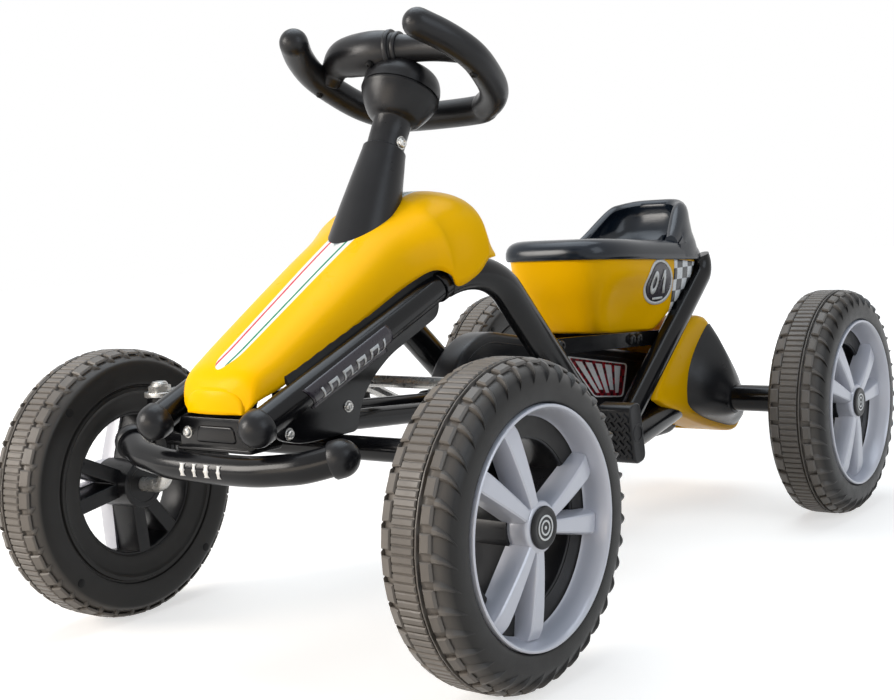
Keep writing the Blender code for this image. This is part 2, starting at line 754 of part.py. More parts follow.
def on_main(height):
    """Point of the left main tube's down stretch at a height above the floor."""
    f = (height - LOW_CORNER.z) / (KNEE.z - LOW_CORNER.z)
    return LOW_CORNER.lerp(KNEE, f)


GUSSET_EDGE = ((0.126, side_height(0.126)), (0.126, 0.1325), (0.060, 0.107), (0.040, 0.094), (0.028, 0.083),
               (0.0195, 0.069), (0.0165, BEAM_UP + BEAM_R + GAP), (-0.038, BEAM_UP + BEAM_R + GAP),
               (-0.050, 0.0555), (-0.071, 0.0615), (-0.073, side_height(-0.073)))
GUSSET = [(FRONT_Y + back, AXLE_Z + up) for back, up in reversed(GUSSET_EDGE)]     # plate below a side tube


def ball_cap(name, at, axis):
    """Plug with a ball nose and a short skirt, pointing along the axis."""
    arc = [(CAP_R * math.sin(a), CAP_R * math.cos(a)) for a in (math.pi * i / 8 for i in range(5))]
    place = Matrix.Translation(at) @ Vector((0, 0, 1)).rotation_difference(axis).to_matrix().to_4x4()
    return turned(name, arc + [(CAP_R, -CAP_SKIRT), (0, -CAP_SKIRT)], place, BLACK_PLASTIC, steps=16)


def rear_tube_path(s):
    """From the low corner of the main tube up behind the seat."""
    top = rear(s * MAIN_LOW_X, REAR_TOP_BACK, REAR_TOP_UP)
    return rounded([mirrored(LOW_CORNER, s), top, rear(s * REAR_TIP[0], REAR_TIP[1], REAR_TIP[2])], 0.020, 4)


def frame_tubes(side, s):
    low = side_height(-NOSE_OVERHANG)
    nose = front(s * SIDE_X, -NOSE_OVERHANG, low)
    end = mirrored(MAIN_START, s)
    along = (end - nose).normalized()
    ball_cap(f"side_tube_cap_{side}", nose, -along)
    bar = meshed(tube(f"side_tube_{side}", [nose + along * (CAP_SKIRT + GAP), end + along * 0.005], SIDE_R,
                      BLACK_TUBE))
    join(bar, meshed(plate("gusset", [GUSSET], PLATE_T, side_plane(s * (SIDE_X + 0.0015)))))
    knee = mirrored(KNEE, s)
    butt = (knee - end).normalized()
    cut(bar, rod("square_end", end - butt * GAP, end + butt * 0.03, MAIN_R + 0.004))
    path = [end, knee, mirrored(LOW_CORNER, s), rear(s * MAIN_END_X, -HOUSING_R - GAP - 0.0012, 0)]
    bent = rounded(path[:3], MAIN_BEND, 5)[:-1] + rounded(path[1:], 0.040, 4)[1:]
    tube(f"main_tube_{side}", bent, MAIN_R, BLACK_TUBE)
    upright = meshed(tube(f"rear_tube_{side}", rear_tube_path(s), REAR_TUBE_R, BLACK_TUBE))
    cut(upright, meshed(tube("cope", bent, MAIN_R + 2 * GAP, None)))


for side, s in SIDES:
    frame_tubes(side, s)


# ---------------------------------------------------------------- nose and lower rails
BUMPER_PATH = ((0, 0), (0.42, 0.03), (0.79, 0.42), (1.0, 1.0))      # across, sweep; of the half width


def bumper_point(across, sweep):
    return front(BUMPER_HALF * across, -BUMPER_OVERHANG + BUMPER_SWEEP * sweep, BUMPER_UP + BUMPER_RISE * sweep)


def bumper():
    half = [bumper_point(*p) for p in BUMPER_PATH]
    path = [mirrored(p, -1) for p in reversed(half[1:])] + half
    for side, tip, inner in (("right", 0, 1), ("left", -1, -2)):
        away = (path[tip] - path[inner]).normalized()
        ball_cap(f"bumper_cap_{side}", path[tip], away)
        path[tip] = path[tip] - away * (CAP_SKIRT + GAP)
    tube("bumper", rounded(path, 0.05, 2), BUMPER_R, BLACK_TUBE, resolution=3)


bumper()
nose_half = SIDE_X - CAP_R - GAP
block("nose_bracket", front(-nose_half, -0.080, BUMPER_UP + BUMPER_R + GAP),
      front(nose_half, -0.048, BUMPER_UP + BUMPER_R + 0.026), BLACK_TUBE)


RAIL_X = HANGER_X - RAIL_R + 0.0005
RAIL_REST = BEAM_UP + BEAM_R + GAP + RAIL_R
RAIL_DROP = 0.083           # fall of the rails per unit length
RAIL_AHEAD = 0.013
RAIL_END = 0.236


def rail_height(back):
    return RAIL_REST + 0.0001 - RAIL_DROP * back


def column_bearings():
    """Foot bearing between the lower rails and the bracket between the side tubes."""
    half = RAIL_X - RAIL_R - GAP
    foot = block("column_foot_bearing", front(-half, 0.014, 0.054), front(half, 0.052, 0.083), BLACK_PLASTIC)
    cut(foot, bore("foot_bore", on_column(COLUMN_FOOT - 0.05), on_column(COLUMN_FOOT + 0.06), COLUMN_R + RUN))
    at = COLUMN_BACK + BRACKET_AT * LEAN.y
    wide = side_x(at) - SIDE_R - GAP - 0.0004
    outline = [(-wide, -0.018), (wide, -0.018), (wide, 0.018), (-wide, 0.018)]
    bracket = meshed(plate("column_bracket", [outline], BRACKET_T, column_plane(BRACKET_AT), BLACK_TUBE))
    join(bracket, rod("bush", on_column(BRACKET_AT - 0.009), on_column(BRACKET_AT + 0.012), BUSH_R))
    cut(bracket, bore("bracket_bore", on_column(BRACKET_AT - 0.05), on_column(BRACKET_AT + 0.05), COLUMN_R + RUN))


column_bearings()

# ---------------------------------------------------------------- bonnet
# back from the front wheel centres, bow of the section, top, edge, half width
BONNET = ((-0.0785, -0.004, 0.097, 0.079, 0.029), (-0.0695, 0.000, 0.111, 0.088, 0.038),
          (-0.048, 0.000, 0.124, 0.0975, 0.045), (-0.003, 0.000, 0.1515, 0.1190, 0.050),
          (0.047, 0.000, 0.182, 0.1430, 0.0545), (0.085, 0.000, 0.204, 0.160, 0.058),
          (0.107, 0.000, 0.215, 0.1695, 0.067), (0.119, 0.000, 0.222, 0.165, 0.0755),
          (0.132, 0.007, 0.2285, 0.1555, 0.0785), (0.157, 0.014, 0.2345, 0.164, 0.085),
          (0.181, 0.026, 0.2320, 0.175, 0.087), (0.199, 0.041, 0.2185, 0.176, 0.087),
          (0.210, 0.048, 0.199, 0.1765, 0.0865), (0.214, 0.047, 0.186, 0.177, 0.086))
BONNET_POWER = (3.0, 2.45)              # section's squareness at the nose and at the tail
BONNET_STEPS = 14


def bonnet():
    rows = []
    for back, bow, top, edge, half in BONNET:
        share = (back - BONNET[0][0]) / (BONNET[-1][0] - BONNET[0][0])
        power = BONNET_POWER[0] + (BONNET_POWER[1] - BONNET_POWER[0]) * share
        row = []
        for i in range(BONNET_STEPS + 1):
            a = math.pi * i / BONNET_STEPS
            c = math.copysign(abs(math.cos(a)) ** (2 / power), math.cos(a))
            row.append(front(half * c, back - bow * c * c, edge + (top - edge) * math.sin(a) ** (2 / power)))
        rows.append(row)
    shell = loft("bonnet", rows, Matrix.Identity(4), YELLOW, closed=False, nose=True)
    thicken(shell, WALL)
    margin = 0.0005
    hole = [cover_ring(COVER_LOW - 0.03, COVER_BASE_R + margin, COVER_LEAN),
            cover_ring(COVER_LOW, COVER_BASE_R + margin, COVER_LEAN),
            cover_ring(COVER_TOP, COVER_TOP_R + margin, 0)]
    cut(shell, loft("cover_hole", hole, column_plane(0)))
    shell.modifiers["difference"].use_self = True
    return shell


bonnet()

# ---------------------------------------------------------------- crank, chain and chain case
CRANK_LINE = (CRANK.y, CRANK.z)
REAR_LINE = (REAR_Y, AXLE_Z)
FRONT_PITCH_R = CHAIN_PITCH / 2 / math.sin(math.pi / FRONT_TEETH)
REAR_PITCH_R = CHAIN_PITCH / 2 / math.sin(math.pi / REAR_TEETH)


def lower_rail(side, s):
    """Rail with the crank hanger plate and its bush welded to the rear end."""
    level = 0.0375
    rail_at = RAIL_END - 0.008
    shape = belt(((*CRANK_LINE, 0.018), (FRONT_Y + rail_at, AXLE_Z + rail_height(rail_at), 0.0095),
                  (on_main(AXLE_Z + level).y, AXLE_Z + level, 0.0095)), steps=20)
    rail = meshed(tube(f"lower_rail_{side}", [front(s * RAIL_X, -RAIL_AHEAD, rail_height(-RAIL_AHEAD)),
                                              front(s * RAIL_X, RAIL_END, rail_height(RAIL_END))],
                       RAIL_R, BLACK_TUBE))
    join(rail, meshed(plate("hanger", [shape], HANGER_T, side_plane(s * HANGER_X))))
    x = s * HANGER_X
    join(rail, rod("bush", (x - s * 0.007, *CRANK_LINE), (x + s * 0.014, *CRANK_LINE), BUSH_OUT))
    cut(rail, bore("crank_bore", (x - s * 0.03, *CRANK_LINE), (x + s * 0.03, *CRANK_LINE), CRANK_R + RUN))


def throw(s):
    """From the crank's middle to the pedal pin on one side."""
    return Vector((0, math.cos(CRANK_ANGLE), math.sin(CRANK_ANGLE))) * (s * CRANK_ARM)


PEDAL_IN = CRANK_ARM_X + CRANK_R + 0.0008


def crankshaft():
    tip = PEDAL_IN + PEDAL_W - 0.003
    path = [(tip, throw(1)), (CRANK_ARM_X, throw(1)), (CRANK_ARM_X, Vector()),
            (-CRANK_ARM_X, Vector()), (-CRANK_ARM_X, throw(-1)), (-tip, throw(-1))]
    points = [CRANK + Vector((x, 0, 0)) + arm for x, arm in path]
    return tube("crankshaft", rounded(points, 0.006, 3), CRANK_R, STEEL, crank_axis, 2)


def sprocket(name, line, teeth, pitch_r, shaft_r, parent):
    tip = pitch_r - CHAIN_T / 2 - GAP - 0.0002
    root = tip - 0.003
    outline = []
    for i in range(teeth):
        for f, r in ((0.0, root), (0.5, tip)):
            a = 2 * math.pi * (i + f) / teeth
            outline.append((r * math.cos(a), r * math.sin(a)))
    holes = [circle(0, 0, (shaft_r + 0.0001 + GAP) / math.cos(math.pi / 16), 16)]
    disc = meshed(plate(name, [outline] + holes, SPROCKET_T, side_plane(0) @ Matrix.Translation((*line, 0)),
                        STEEL, parent))
    collar = turned("collar", [(shaft_r + 0.0055, 0.008), (shaft_r + 0.0055, -0.008),
                               ((shaft_r + 0.0001 + GAP) / math.cos(math.pi / 16), -0.008),
                               ((shaft_r + 0.0001 + GAP) / math.cos(math.pi / 16), 0.008)],
                    side_plane(0) @ Matrix.Translation((*line, 0)), steps=16, ring=True)
    return join(disc, collar)


def chain_run():
    discs = ((*CRANK_LINE, FRONT_PITCH_R), (*REAR_LINE, REAR_PITCH_R))
    return plate("chain", [belt(discs, CHAIN_T / 2, 32), belt(discs, -CHAIN_T / 2, 32)], CHAIN_W,
                 side_plane(0), STEEL)


def chain_guard(side, s):
    """Half of the chain case, a tray open towards the kart's middle."""
    discs = ((*CRANK_LINE, CASE_FRONT_R), (*REAR_LINE, CASE_REAR_R))
    deep = CASE_HALF - GAP / 2
    tray = meshed(plate(f"chain_guard_{side}", [belt(discs)], deep, side_plane(s * (GAP / 2 + deep / 2)),
                        BLACK_PLASTIC))
    hollow = meshed(plate("hollow", [belt(discs, -WALL)], CASE_HALF, side_plane(s * (CASE_HALF / 2 - WALL))))
    cut(tray, hollow)
    for line, radius in ((CRANK_LINE, CRANK_R + 0.002), (REAR_LINE, SHAFT_R + 0.002)):
        cut(tray, bore("shaft_hole", (0, *line), (s * 0.05, *line), radius))
    return tray


def pedal(side, s):
    """Block pedal with a ribbed tread on both faces."""
    half_t, half_h, rib = PEDAL_T / 2, PEDAL_H / 2, 0.0022
    face = []
    count = 4
    for i in range(count):
        low = -half_h + 0.006 + i * (PEDAL_H - 0.012) / count
        high = low + (PEDAL_H - 0.012) / count
        face += [(half_t, low + 0.001), (half_t, high - 0.003), (half_t - rib, high - 0.002), (half_t - rib, high)]
    face = [(half_t - 0.005, -half_h)] + face + [(half_t - 0.005, half_h)]
    outline = face + [(-x, y) for x, y in reversed(face)]
    centre = CRANK + throw(s) + Vector((s * (PEDAL_IN + PEDAL_W / 2), 0, 0))
    axis = wheel_empty(f"pedal_axis_{side}", centre, 0, crank_axis)
    tilt = Matrix.Rotation(PEDAL_TILT, 4, "X")
    body = meshed(plate(f"pedal_{side}", [outline], PEDAL_W,
                        Matrix.Translation(centre) @ tilt @ side_plane(0), BLACK_PLASTIC, axis))
    pin = Vector((0.05, 0, 0))
    return cut(body, bore("pin_bore", centre - pin, centre + pin, CRANK_R + RUN, 16))


crankshaft()
sprocket("chainring", CRANK_LINE, FRONT_TEETH, FRONT_PITCH_R, CRANK_R, crank_axis)
sprocket("rear_sprocket", REAR_LINE, REAR_TEETH, REAR_PITCH_R, SHAFT_R, rear_axis)
chain_run()
for side, s in SIDES:
    lower_rail(side, s)
    chain_guard(side, s)
    pedal(side, s)

# ---------------------------------------------------------------- rear axle, its housings and fairing
axle_half = TRACK / 2 + SPINDLE_PAST
rod("rear_axle", rear(-axle_half, 0, 0), rear(axle_half, 0, 0), SHAFT_R, STEEL, rear_axis)
HOUSING_OUT = TRACK / 2 - HOUSING_END
HOUSING_BORE = HOUSING_R - 0.0035


for side, s in SIDES:
    start, end = s * (CASE_HALF + GAP), s * HOUSING_OUT
    sleeve = rod(f"axle_housing_{side}", rear(start, 0, 0), rear(end, 0, 0), HOUSING_R, BLACK_TUBE, sides=20)
    cut(sleeve, bore("housing_bore", rear(0, 0, 0), rear(s * 0.2, 0, 0), HOUSING_BORE))
    at = end - s * 0.001
    ring = rod(f"axle_bearing_{side}", rear(at - s * BEARING_W, 0, 0), rear(at, 0, 0), HOUSING_BORE - GAP, STEEL)
    cut(ring, bore("bearing_bore", rear(0, 0, 0), rear(s * 0.2, 0, 0), SHAFT_R + RUN))
    wheel("rear", side, Matrix.Translation(rear(s * TRACK / 2, 0, 0)), rear_axis)

# side view outline of the fairing, back and up from the rear wheel centres
FAIRING = ((-0.020, 0.0890), (-0.050, 0.0765), (-0.069, 0.0640), (-0.086, 0.0505), (-0.106, 0.0300),
           (-0.117, 0.0150), (-0.112, 0.0090), (-0.080, -0.0040), (-0.050, -0.0155), (-0.010, -0.0290),
           (0.030, -0.0410), (0.060, -0.0475), (0.077, -0.0455), (0.0870, -0.0340), (0.0850, -0.0120),
           (0.055, 0.0350), (0.014, 0.0800), (0.000, 0.0885))
INSERT = ((0.004, 0.0780), (-0.026, 0.0560), (-0.044, 0.0330), (-0.050, 0.0080), (-0.043, -0.0060),
          (-0.010, -0.0220), (0.040, -0.0370), (0.066, -0.0410), (0.0790, -0.0330), (0.0780, -0.0120),
          (0.052, 0.0300), (0.015, 0.0740))


def radial(outline, steps):
    """The outline's points seen at even angles round the wheel centre."""
    points = []
    for i in range(steps):
        a = 2 * math.pi * i / steps
        c, s = math.cos(a), math.sin(a)
        reach = 0
        for (x0, y0), (x1, y1) in zip(outline, outline[1:] + outline[:1]):
            ex, ey = x1 - x0, y1 - y0
            det = ex * s - ey * c
            if abs(det) < 1e-12:
                continue
            f = (y0 * c - x0 * s) / det
            r = (x0 + f * ex) * c + (y0 + f * ey) * s
            if -1e-9 <= f <= 1 + 1e-9 and r > 0:
                reach = max(reach, r)
        points.append((reach * c, reach * s))
    return points


def fairing():
    """Moulded shroud round the rear axle, open towards the frame."""
    around = radial(FAIRING, 24)
    rows = []
    for x, shrink in ((-1.0, 0.008), (-0.98, 0.0035), (-0.90, 0), (0.90, 0), (0.98, 0.0035), (1.0, 0.008)):
        row = []
        for y, z in around:
            size = math.hypot(y, z)
            row.append(rear(x * FAIRING_HALF, y * (size - shrink) / size, z * (size - shrink) / size))
        rows.append(row)
    shell = thicken(loft("rear_fairing", rows, Matrix.Identity(4), YELLOW), WALL)
    gate = CASE_HALF + 0.0015
    open_half = FAIRING_HALF - WALL - 0.004
    cut(shell, block("front_gate", rear(-open_half, -0.16, -0.06), rear(open_half, -0.052, 0.072)),
        block("floor_gate", rear(-gate, -0.08, -0.06), rear(gate, CASE_REAR_R + 0.0015, -0.012)))
    cut(shell, bore("housing_gate", rear(-0.2, 0, 0), rear(0.2, 0, 0), HOUSING_R + GAP, 20))
    for s in (1, -1):
        near = rear(s * MAIN_END_X, 0, 0)
        far = mirrored(LOW_CORNER, s)
        cut(shell, bore("tube_gate", near, far + (far - near) * 0.1, MAIN_R + 0.0015, 16))
    return shell


def fairing_insert(side, s):
    """Moulded boot from the fairing's side down to the axle housing."""
    rows = []
    base = radial(INSERT, 24)
    start, end = FAIRING_HALF + GAP, INSERT_OUT
    for f, blend in ((0.0, 0.0), (0.10, 0.05), (0.40, 0.26), (0.75, 0.62), (1.0, 1.0)):
        row = []
        for y, z in base:
            size = math.hypot(y, z)
            reach = size + (HOUSING_R + 0.003 - size) * blend
            row.append(rear(s * (start + (end - start) * f), y * reach / size, z * reach / size))
        rows.append(row)
    boot = loft(f"fairing_insert_{side}", rows, Matrix.Identity(4), BLACK_PLASTIC)
    return cut(boot, bore("boot_bore", rear(0, 0, 0), rear(s * 0.2, 0, 0), HOUSING_R + GAP, 20))


fairing()
for side, s in SIDES:
    fairing_insert(side, s)

# ---------------------------------------------------------------- seat
TUB_LEVELS = ((0.004, 1.0, -0.1145, 0.1010, 0.0), (-0.014, 0.985, -0.1100, 0.0950, 0.0),
              (-0.030, 0.95, -0.1030, 0.0790, 0.06), (-0.048, 0.91, -0.0910, 0.0560, 0.14),
              (-0.064, 0.86, -0.0800, 0.0370, 0.17), (-0.071, 0.82, -0.0740, 0.0290, 0.17),
              (-0.073, 0.77, -0.0680, 0.0240, 0.15))        # level, width, front, rear, leg recess
TUB_POWER = (4.0, 9.0)                                      # squareness of the front and rear corners


def seat_tub():
    """Moulded seat base with a hollow for each leg, open below the cushion."""
    rows = []
    for level, wide, ahead, behind, recess in TUB_LEVELS:
        row = []
        for x, y in squircle(TUB_HALF * wide, (behind - ahead) / 2, TUB_POWER, 24, 0, (behind + ahead) / 2):
            hollow = recess * math.exp(-((y + 0.045) / 0.035) ** 2)
            row.append((x * (1 - hollow), y, level - GAP))
        rows.append(row)
    tub = thicken(loft("seat_base", rows, SEAT_FRAME, YELLOW, caps="last"), WALL)
    tube_gates = [meshed(tube("tube_gate", rear_tube_path(s), REAR_TUBE_R + 0.0012, None)) for s in (1, -1)]
    reach = CUSHION_LEN
    above = block("rim_trim", (-reach, -reach, -GAP), (reach, reach, TUB_DEPTH), place=SEAT_FRAME)
    return cut(tub, above, *tube_gates)


CUSHION_LEVELS = ((0.0, 0.0008), (0.004, 0.0), (0.010, 0.0012), (0.016, 0.0050), (0.0195, 0.0115),
                  (0.021, 0.019))                           # level, drawn in from the outline
CUSHION_POWER = (4.0, 3.2)
BACK_HEIGHT = 0.0685
BACK_THICK = 0.017


def seat_cushion():
    """Moulded seat with a low curved backrest."""
    rows = [[(x, y, level) for x, y in squircle(CUSHION_HALF - inset, CUSHION_LEN / 2 - inset, CUSHION_POWER, 32)]
            for level, inset in CUSHION_LEVELS]
    seat = loft("seat_cushion", rows, SEAT_FRAME, BLACK_PLASTIC)
    sections = []
    steps = 14
    for i in range(steps + 1):
        a = math.pi * (0.10 + 0.80 * i / steps)
        c, s = math.cos(a), math.sin(a)
        x = math.copysign(abs(c) ** (2 / 3.4), c)
        y = s ** (2 / 3.4)
        rise = min(1.0, max(0.0, (y * CUSHION_LEN / 2 - 0.036) / 0.060))
        rise = rise * rise * (3 - 2 * rise)
        high = 0.019 + (BACK_HEIGHT - 0.019) * rise - 0.006 * x * x * rise
        lean = 0.017 * rise

        def point(inset, z, lean_part, x=x, y=y, lean=lean):
            return ((CUSHION_HALF - 0.003 - inset) * x, (CUSHION_LEN / 2 - 0.004 - inset) * y + lean * lean_part, z)

        thick = BACK_THICK
        sections.append([point(0, 0.004, 0), point(0.001, high * 0.55, 0.4), point(0.0015, high - 0.005, 0.95),
                         point(0.005, high, 1), point(thick - 0.005, high, 1), point(thick, high - 0.005, 0.9),
                         point(thick + 0.004, high * 0.55, 0.3), point(thick + 0.006, 0.006, 0)])
    join(seat, loft("backrest", sections, SEAT_FRAME))
    for s in (1, -1):
        path = rear_tube_path(s)
        path[-1] += (path[-1] - path[-2]).normalized() * 0.001
        cut(seat, meshed(tube("socket", path, REAR_TUBE_R + 0.0008, None)))
    return seat


def seat_frame():
    """Flat bars under the seat base, from the main tubes to the rear tubes, tied by a strap."""
    top = -TUB_DEPTH - 2 * GAP
    low = top - SEAT_RAIL_H
    y_front, y_back = -0.200, 0.045
    strap = block("seat_frame", (-SEAT_RAIL_X, -0.025, top - 0.0035), (SEAT_RAIL_X, 0.015, top - 0.0005),
                  BLACK_TUBE, place=SEAT_FRAME)
    outline = [(y_front + 0.004, low), (y_back, low), (y_back, top), (y_front, top)]
    joint = SEAT_FRAME @ Vector((0, y_front + 0.011, (top + low) / 2))
    for s in (1, -1):
        join(strap, meshed(plate("bar", [outline], SEAT_RAIL_T, SEAT_FRAME @ side_plane(s * SEAT_RAIL_X))))
        reach = on_main(joint.z).x - MAIN_R - GAP - 0.0004
        join(strap, rod("spacer", (s * SEAT_RAIL_X, joint.y, joint.z), (s * reach, joint.y, joint.z), 0.006))
    return strap


seat_tub()
seat_cushion()
seat_frame()
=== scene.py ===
import math

import bmesh
import bpy
from mathutils import Matrix, Vector, geometry
from mathutils.bvhtree import BVHTree


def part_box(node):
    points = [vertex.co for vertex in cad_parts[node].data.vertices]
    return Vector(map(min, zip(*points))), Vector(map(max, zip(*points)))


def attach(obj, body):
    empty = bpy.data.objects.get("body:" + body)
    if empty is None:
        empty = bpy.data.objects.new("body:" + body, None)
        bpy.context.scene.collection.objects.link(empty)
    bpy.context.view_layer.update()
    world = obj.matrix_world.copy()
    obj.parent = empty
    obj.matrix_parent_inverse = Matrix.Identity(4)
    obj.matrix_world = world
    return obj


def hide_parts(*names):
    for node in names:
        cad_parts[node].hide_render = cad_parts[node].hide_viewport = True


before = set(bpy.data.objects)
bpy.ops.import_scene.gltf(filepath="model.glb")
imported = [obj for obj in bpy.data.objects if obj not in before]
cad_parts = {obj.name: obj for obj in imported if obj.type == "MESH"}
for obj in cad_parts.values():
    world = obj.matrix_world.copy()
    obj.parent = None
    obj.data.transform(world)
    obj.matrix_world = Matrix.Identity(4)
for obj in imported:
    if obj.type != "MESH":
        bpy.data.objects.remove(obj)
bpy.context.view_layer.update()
scene = bpy.context.scene
sides = (("Left", "left", 1), ("Right", "right", -1))

# lengths in metres, angles in degrees unless a name says otherwise
layout = {"wheelbase": 0.594, "track": 0.406, "tyreRadius": 0.115, "toe": 1.2, "kingpin": 0.145,
          "columnTilt": 28.5, "columnBack": 0.104, "columnUp": 0.209}


def front(x, back, up):
    return Vector((x, back - layout["wheelbase"] / 2, up + layout["tyreRadius"]))


def rear(x, back, up):
    return Vector((x, back + layout["wheelbase"] / 2, up + layout["tyreRadius"]))


def mirrored(point, s):
    return Vector((s * point[0], point[1], point[2]))


def placeOn(origin, xAxis, yAxis, zAxis):
    m = Matrix((Vector(xAxis), Vector(yAxis), Vector(zAxis))).transposed().to_4x4()
    m.translation = origin
    return m


def pointing(at, away):
    # Z turned to the direction away, standing at a point
    return Matrix.Translation(at) @ Vector((0, 0, 1)).rotation_difference(away).to_matrix().to_4x4()


def facingOut(x, s, y=0.0, z=0.0):
    # a turned shape lies along X, its outside towards side s
    return placeOn((x, y, z), (0, s, 0), (0, 0, 1), (s, 0, 0))


def sideView(x):
    # a flat outline of (y, z) points stands up across X
    return placeOn((x, 0, 0), (0, 1, 0), (0, 0, 1), (1, 0, 0))


axlePoint = rear(0, 0, 0)
tilt = math.radians(layout["columnTilt"])
lean = Vector((0, math.sin(tilt), math.cos(tilt)))
toward = Vector((0, math.cos(tilt), -math.sin(tilt)))
columnPlace = placeOn(front(0, layout["columnBack"], layout["columnUp"]), (1, 0, 0), toward, lean)


# mesh helpers; every one gives (points, faces)
def smoothLine(points, steps=6, closed=False):
    # Catmull-Rom through the points, any number of values in each
    n = len(points)
    out = []
    for i in range(n if closed else n - 1):
        if closed:
            a, b, c, d = (points[(i + k) % n] for k in (-1, 0, 1, 2))
        else:
            a, b, c, d = points[max(i - 1, 0)], points[i], points[i + 1], points[min(i + 2, n - 1)]
        for k in range(steps):
            t = k / steps
            out.append(tuple(0.5 * (2 * q + (r - p) * t + (2 * p - 5 * q + 4 * r - s) * t * t
                                    + (3 * q - p - 3 * r + s) * t ** 3) for p, q, r, s in zip(a, b, c, d)))
    if not closed:
        out.append(tuple(points[-1]))
    return out


def bent(points, radius, steps=8):
    # straight runs with round corners
    points = [Vector(p) for p in points]
    out = [points[0]]
    for a, b, c in zip(points, points[1:], points[2:]):
        u, v = (a - b).normalized(), (c - b).normalized()
        turn = math.pi - u.angle(v)
        if turn < 0.01:
            out.append(b)
            continue
        cut = radius * math.tan(turn / 2)
        start, middle = b + u * cut, b + (u + v).normalized() * (radius / math.cos(turn / 2))
        axis = (start - middle).cross(b + v * cut - middle).normalized()
        out += [middle + Matrix.Rotation(turn * k / steps, 3, axis) @ (start - middle)
                for k in range(steps + 1)]
    return out + [points[-1]]


def circle(radius, steps, x=0.0, y=0.0, start=0.0):
    return [(x + radius * math.cos(start + 2 * math.pi * i / steps),
             y + radius * math.sin(start + 2 * math.pi * i / steps)) for i in range(steps)]


def loft(rows, closed=True, caps=(True, True), place=None, ring=False):
    points = [Vector(p) for row in rows for p in row]
    if place:
        points = [place @ p for p in points]
    n = len(rows[0])
    faces = []
    span = n if closed else n - 1
    last = len(rows) if ring else len(rows) - 1
    for i in range(last):
        j = (i + 1) % len(rows)
        for k in range(span):
            m = (k + 1) % n
            faces.append((i * n + k, i * n + m, j * n + m, j * n + k))
    if caps[0] and not ring:
        faces.append(tuple(reversed(range(n))))
    if caps[1] and not ring:
        faces.append(tuple(range(len(rows) * n - n, len(rows) * n)))
    return points, faces


def lathe(profile, place=None, steps=64, ring=False):
    # (radius, height) points turned round Z; points on the axis become poles when doubles are merged
    rows = [[(x, y, h) for x, y in circle(r, steps)] for r, h in profile]
    return loft(rows, caps=(not ring and profile[0][0] > 1e-6, not ring and profile[-1][0] > 1e-6),
                place=place, ring=ring)


def pipe(path, radius, sides=28, dome=0.0):
    # round bar along a path; radius is a number or one for each point; dome rounds the ends
    path = [Vector(p) for p in path]
    radii = list(radius) if isinstance(radius, (list, tuple)) else [radius] * len(path)
    tangents = []
    for i in range(len(path)):
        a, b = path[max(i - 1, 0)], path[min(i + 1, len(path) - 1)]
        tangents.append((b - a).normalized())
    if dome:
        turns = [math.pi / 2 * k / 6 for k in range(6)]
        first = [(path[0] - tangents[0] * dome * math.cos(a), radii[0] * math.sin(a) + 1e-7) for a in turns]
        last = [(path[-1] + tangents[-1] * dome * math.cos(a), radii[-1] * math.sin(a) + 1e-7)
                for a in reversed(turns)]
    else:
        chamfer = min(0.0006, radii[0] * 0.2)
        first = [(path[0], radii[0] - chamfer)]
        last = [(path[-1], radii[-1] - chamfer)]
        path[0], path[-1] = path[0] + tangents[0] * chamfer, path[-1] - tangents[-1] * chamfer
    stations = first + list(zip(path, radii)) + last
    tangents = [tangents[0]] * len(first) + tangents + [tangents[-1]] * len(last)
    side = tangents[0].orthogonal().normalized()
    rows = []
    for (at, r), tangent in zip(stations, tangents):
        side = (side - tangent * side.dot(tangent)).normalized()
        up = tangent.cross(side)
        rows.append([at + side * x + up * y for x, y in circle(r, sides)])
    return loft(rows)


def slab(outlines, thickness, place, bevel=0.0008, smooth=2):
    # flat shape with softened edges; the first outline is its edge, the rest are holes
    curve = bpy.data.curves.new("slab", "CURVE")
    curve.dimensions, curve.fill_mode = "2D", "BOTH"
    curve.extrude, curve.bevel_depth, curve.offset, curve.bevel_resolution = (
        thickness / 2 - bevel, bevel, -bevel, smooth)
    for outline in outlines:
        spline = curve.splines.new("POLY")
        spline.points.add(len(outline) - 1)
        spline.use_cyclic_u = True
        for point, at in zip(spline.points, outline):
            point.co = (at[0], at[1], 0, 1)
    obj = bpy.data.objects.new("slab", curve)
    scene.collection.objects.link(obj)
    mesh = bpy.data.meshes.new_from_object(obj)
    points = [place @ v.co for v in mesh.vertices]
    faces = [tuple(p.vertices) for p in mesh.polygons]
    bpy.data.objects.remove(obj)
    bpy.data.meshes.remove(mesh)
    return points, faces


def moved(shape, place):
    return [place @ Vector(p) for p in shape[0]], shape[1]


def together(*shapes):
    points, faces = [], []
    for p, f in shapes:
        faces += [tuple(i + len(points) for i in face) for face in f]
        points += list(p)
    return points, faces


def makeObject(name, parts, sharp=38, recalc=True):
    # parts: (shape, material) pairs, welded into one mesh with clean outward faces
    mesh = bpy.data.meshes.new(name)
    points, faces = together(*(shape for shape, _ in parts))
    mesh.from_pydata([tuple(p) for p in points], [], faces)
    slots = []
    numbers = []
    for (_, f), mat in parts:
        if mat not in slots:
            slots.append(mat)
            mesh.materials.append(mat)
        numbers += [slots.index(mat)] * len(f)
    mesh.polygons.foreach_set("material_index", numbers)
    bm = bmesh.new()
    bm.from_mesh(mesh)
    bmesh.ops.remove_doubles(bm, verts=bm.verts, dist=2e-6)
    bmesh.ops.dissolve_degenerate(bm, edges=bm.edges, dist=1e-7)
    if recalc:
        bmesh.ops.recalc_face_normals(bm, faces=bm.faces)
    bm.to_mesh(mesh)
    bm.free()
    mesh.shade_smooth()
    mesh.set_sharp_from_angle(angle=math.radians(sharp))
    obj = bpy.data.objects.new(name, mesh)
    scene.collection.objects.link(obj)
    return obj


def fit(obj, body, slotName, *nodes):
    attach(obj, body)
    if nodes:
        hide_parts(*nodes)


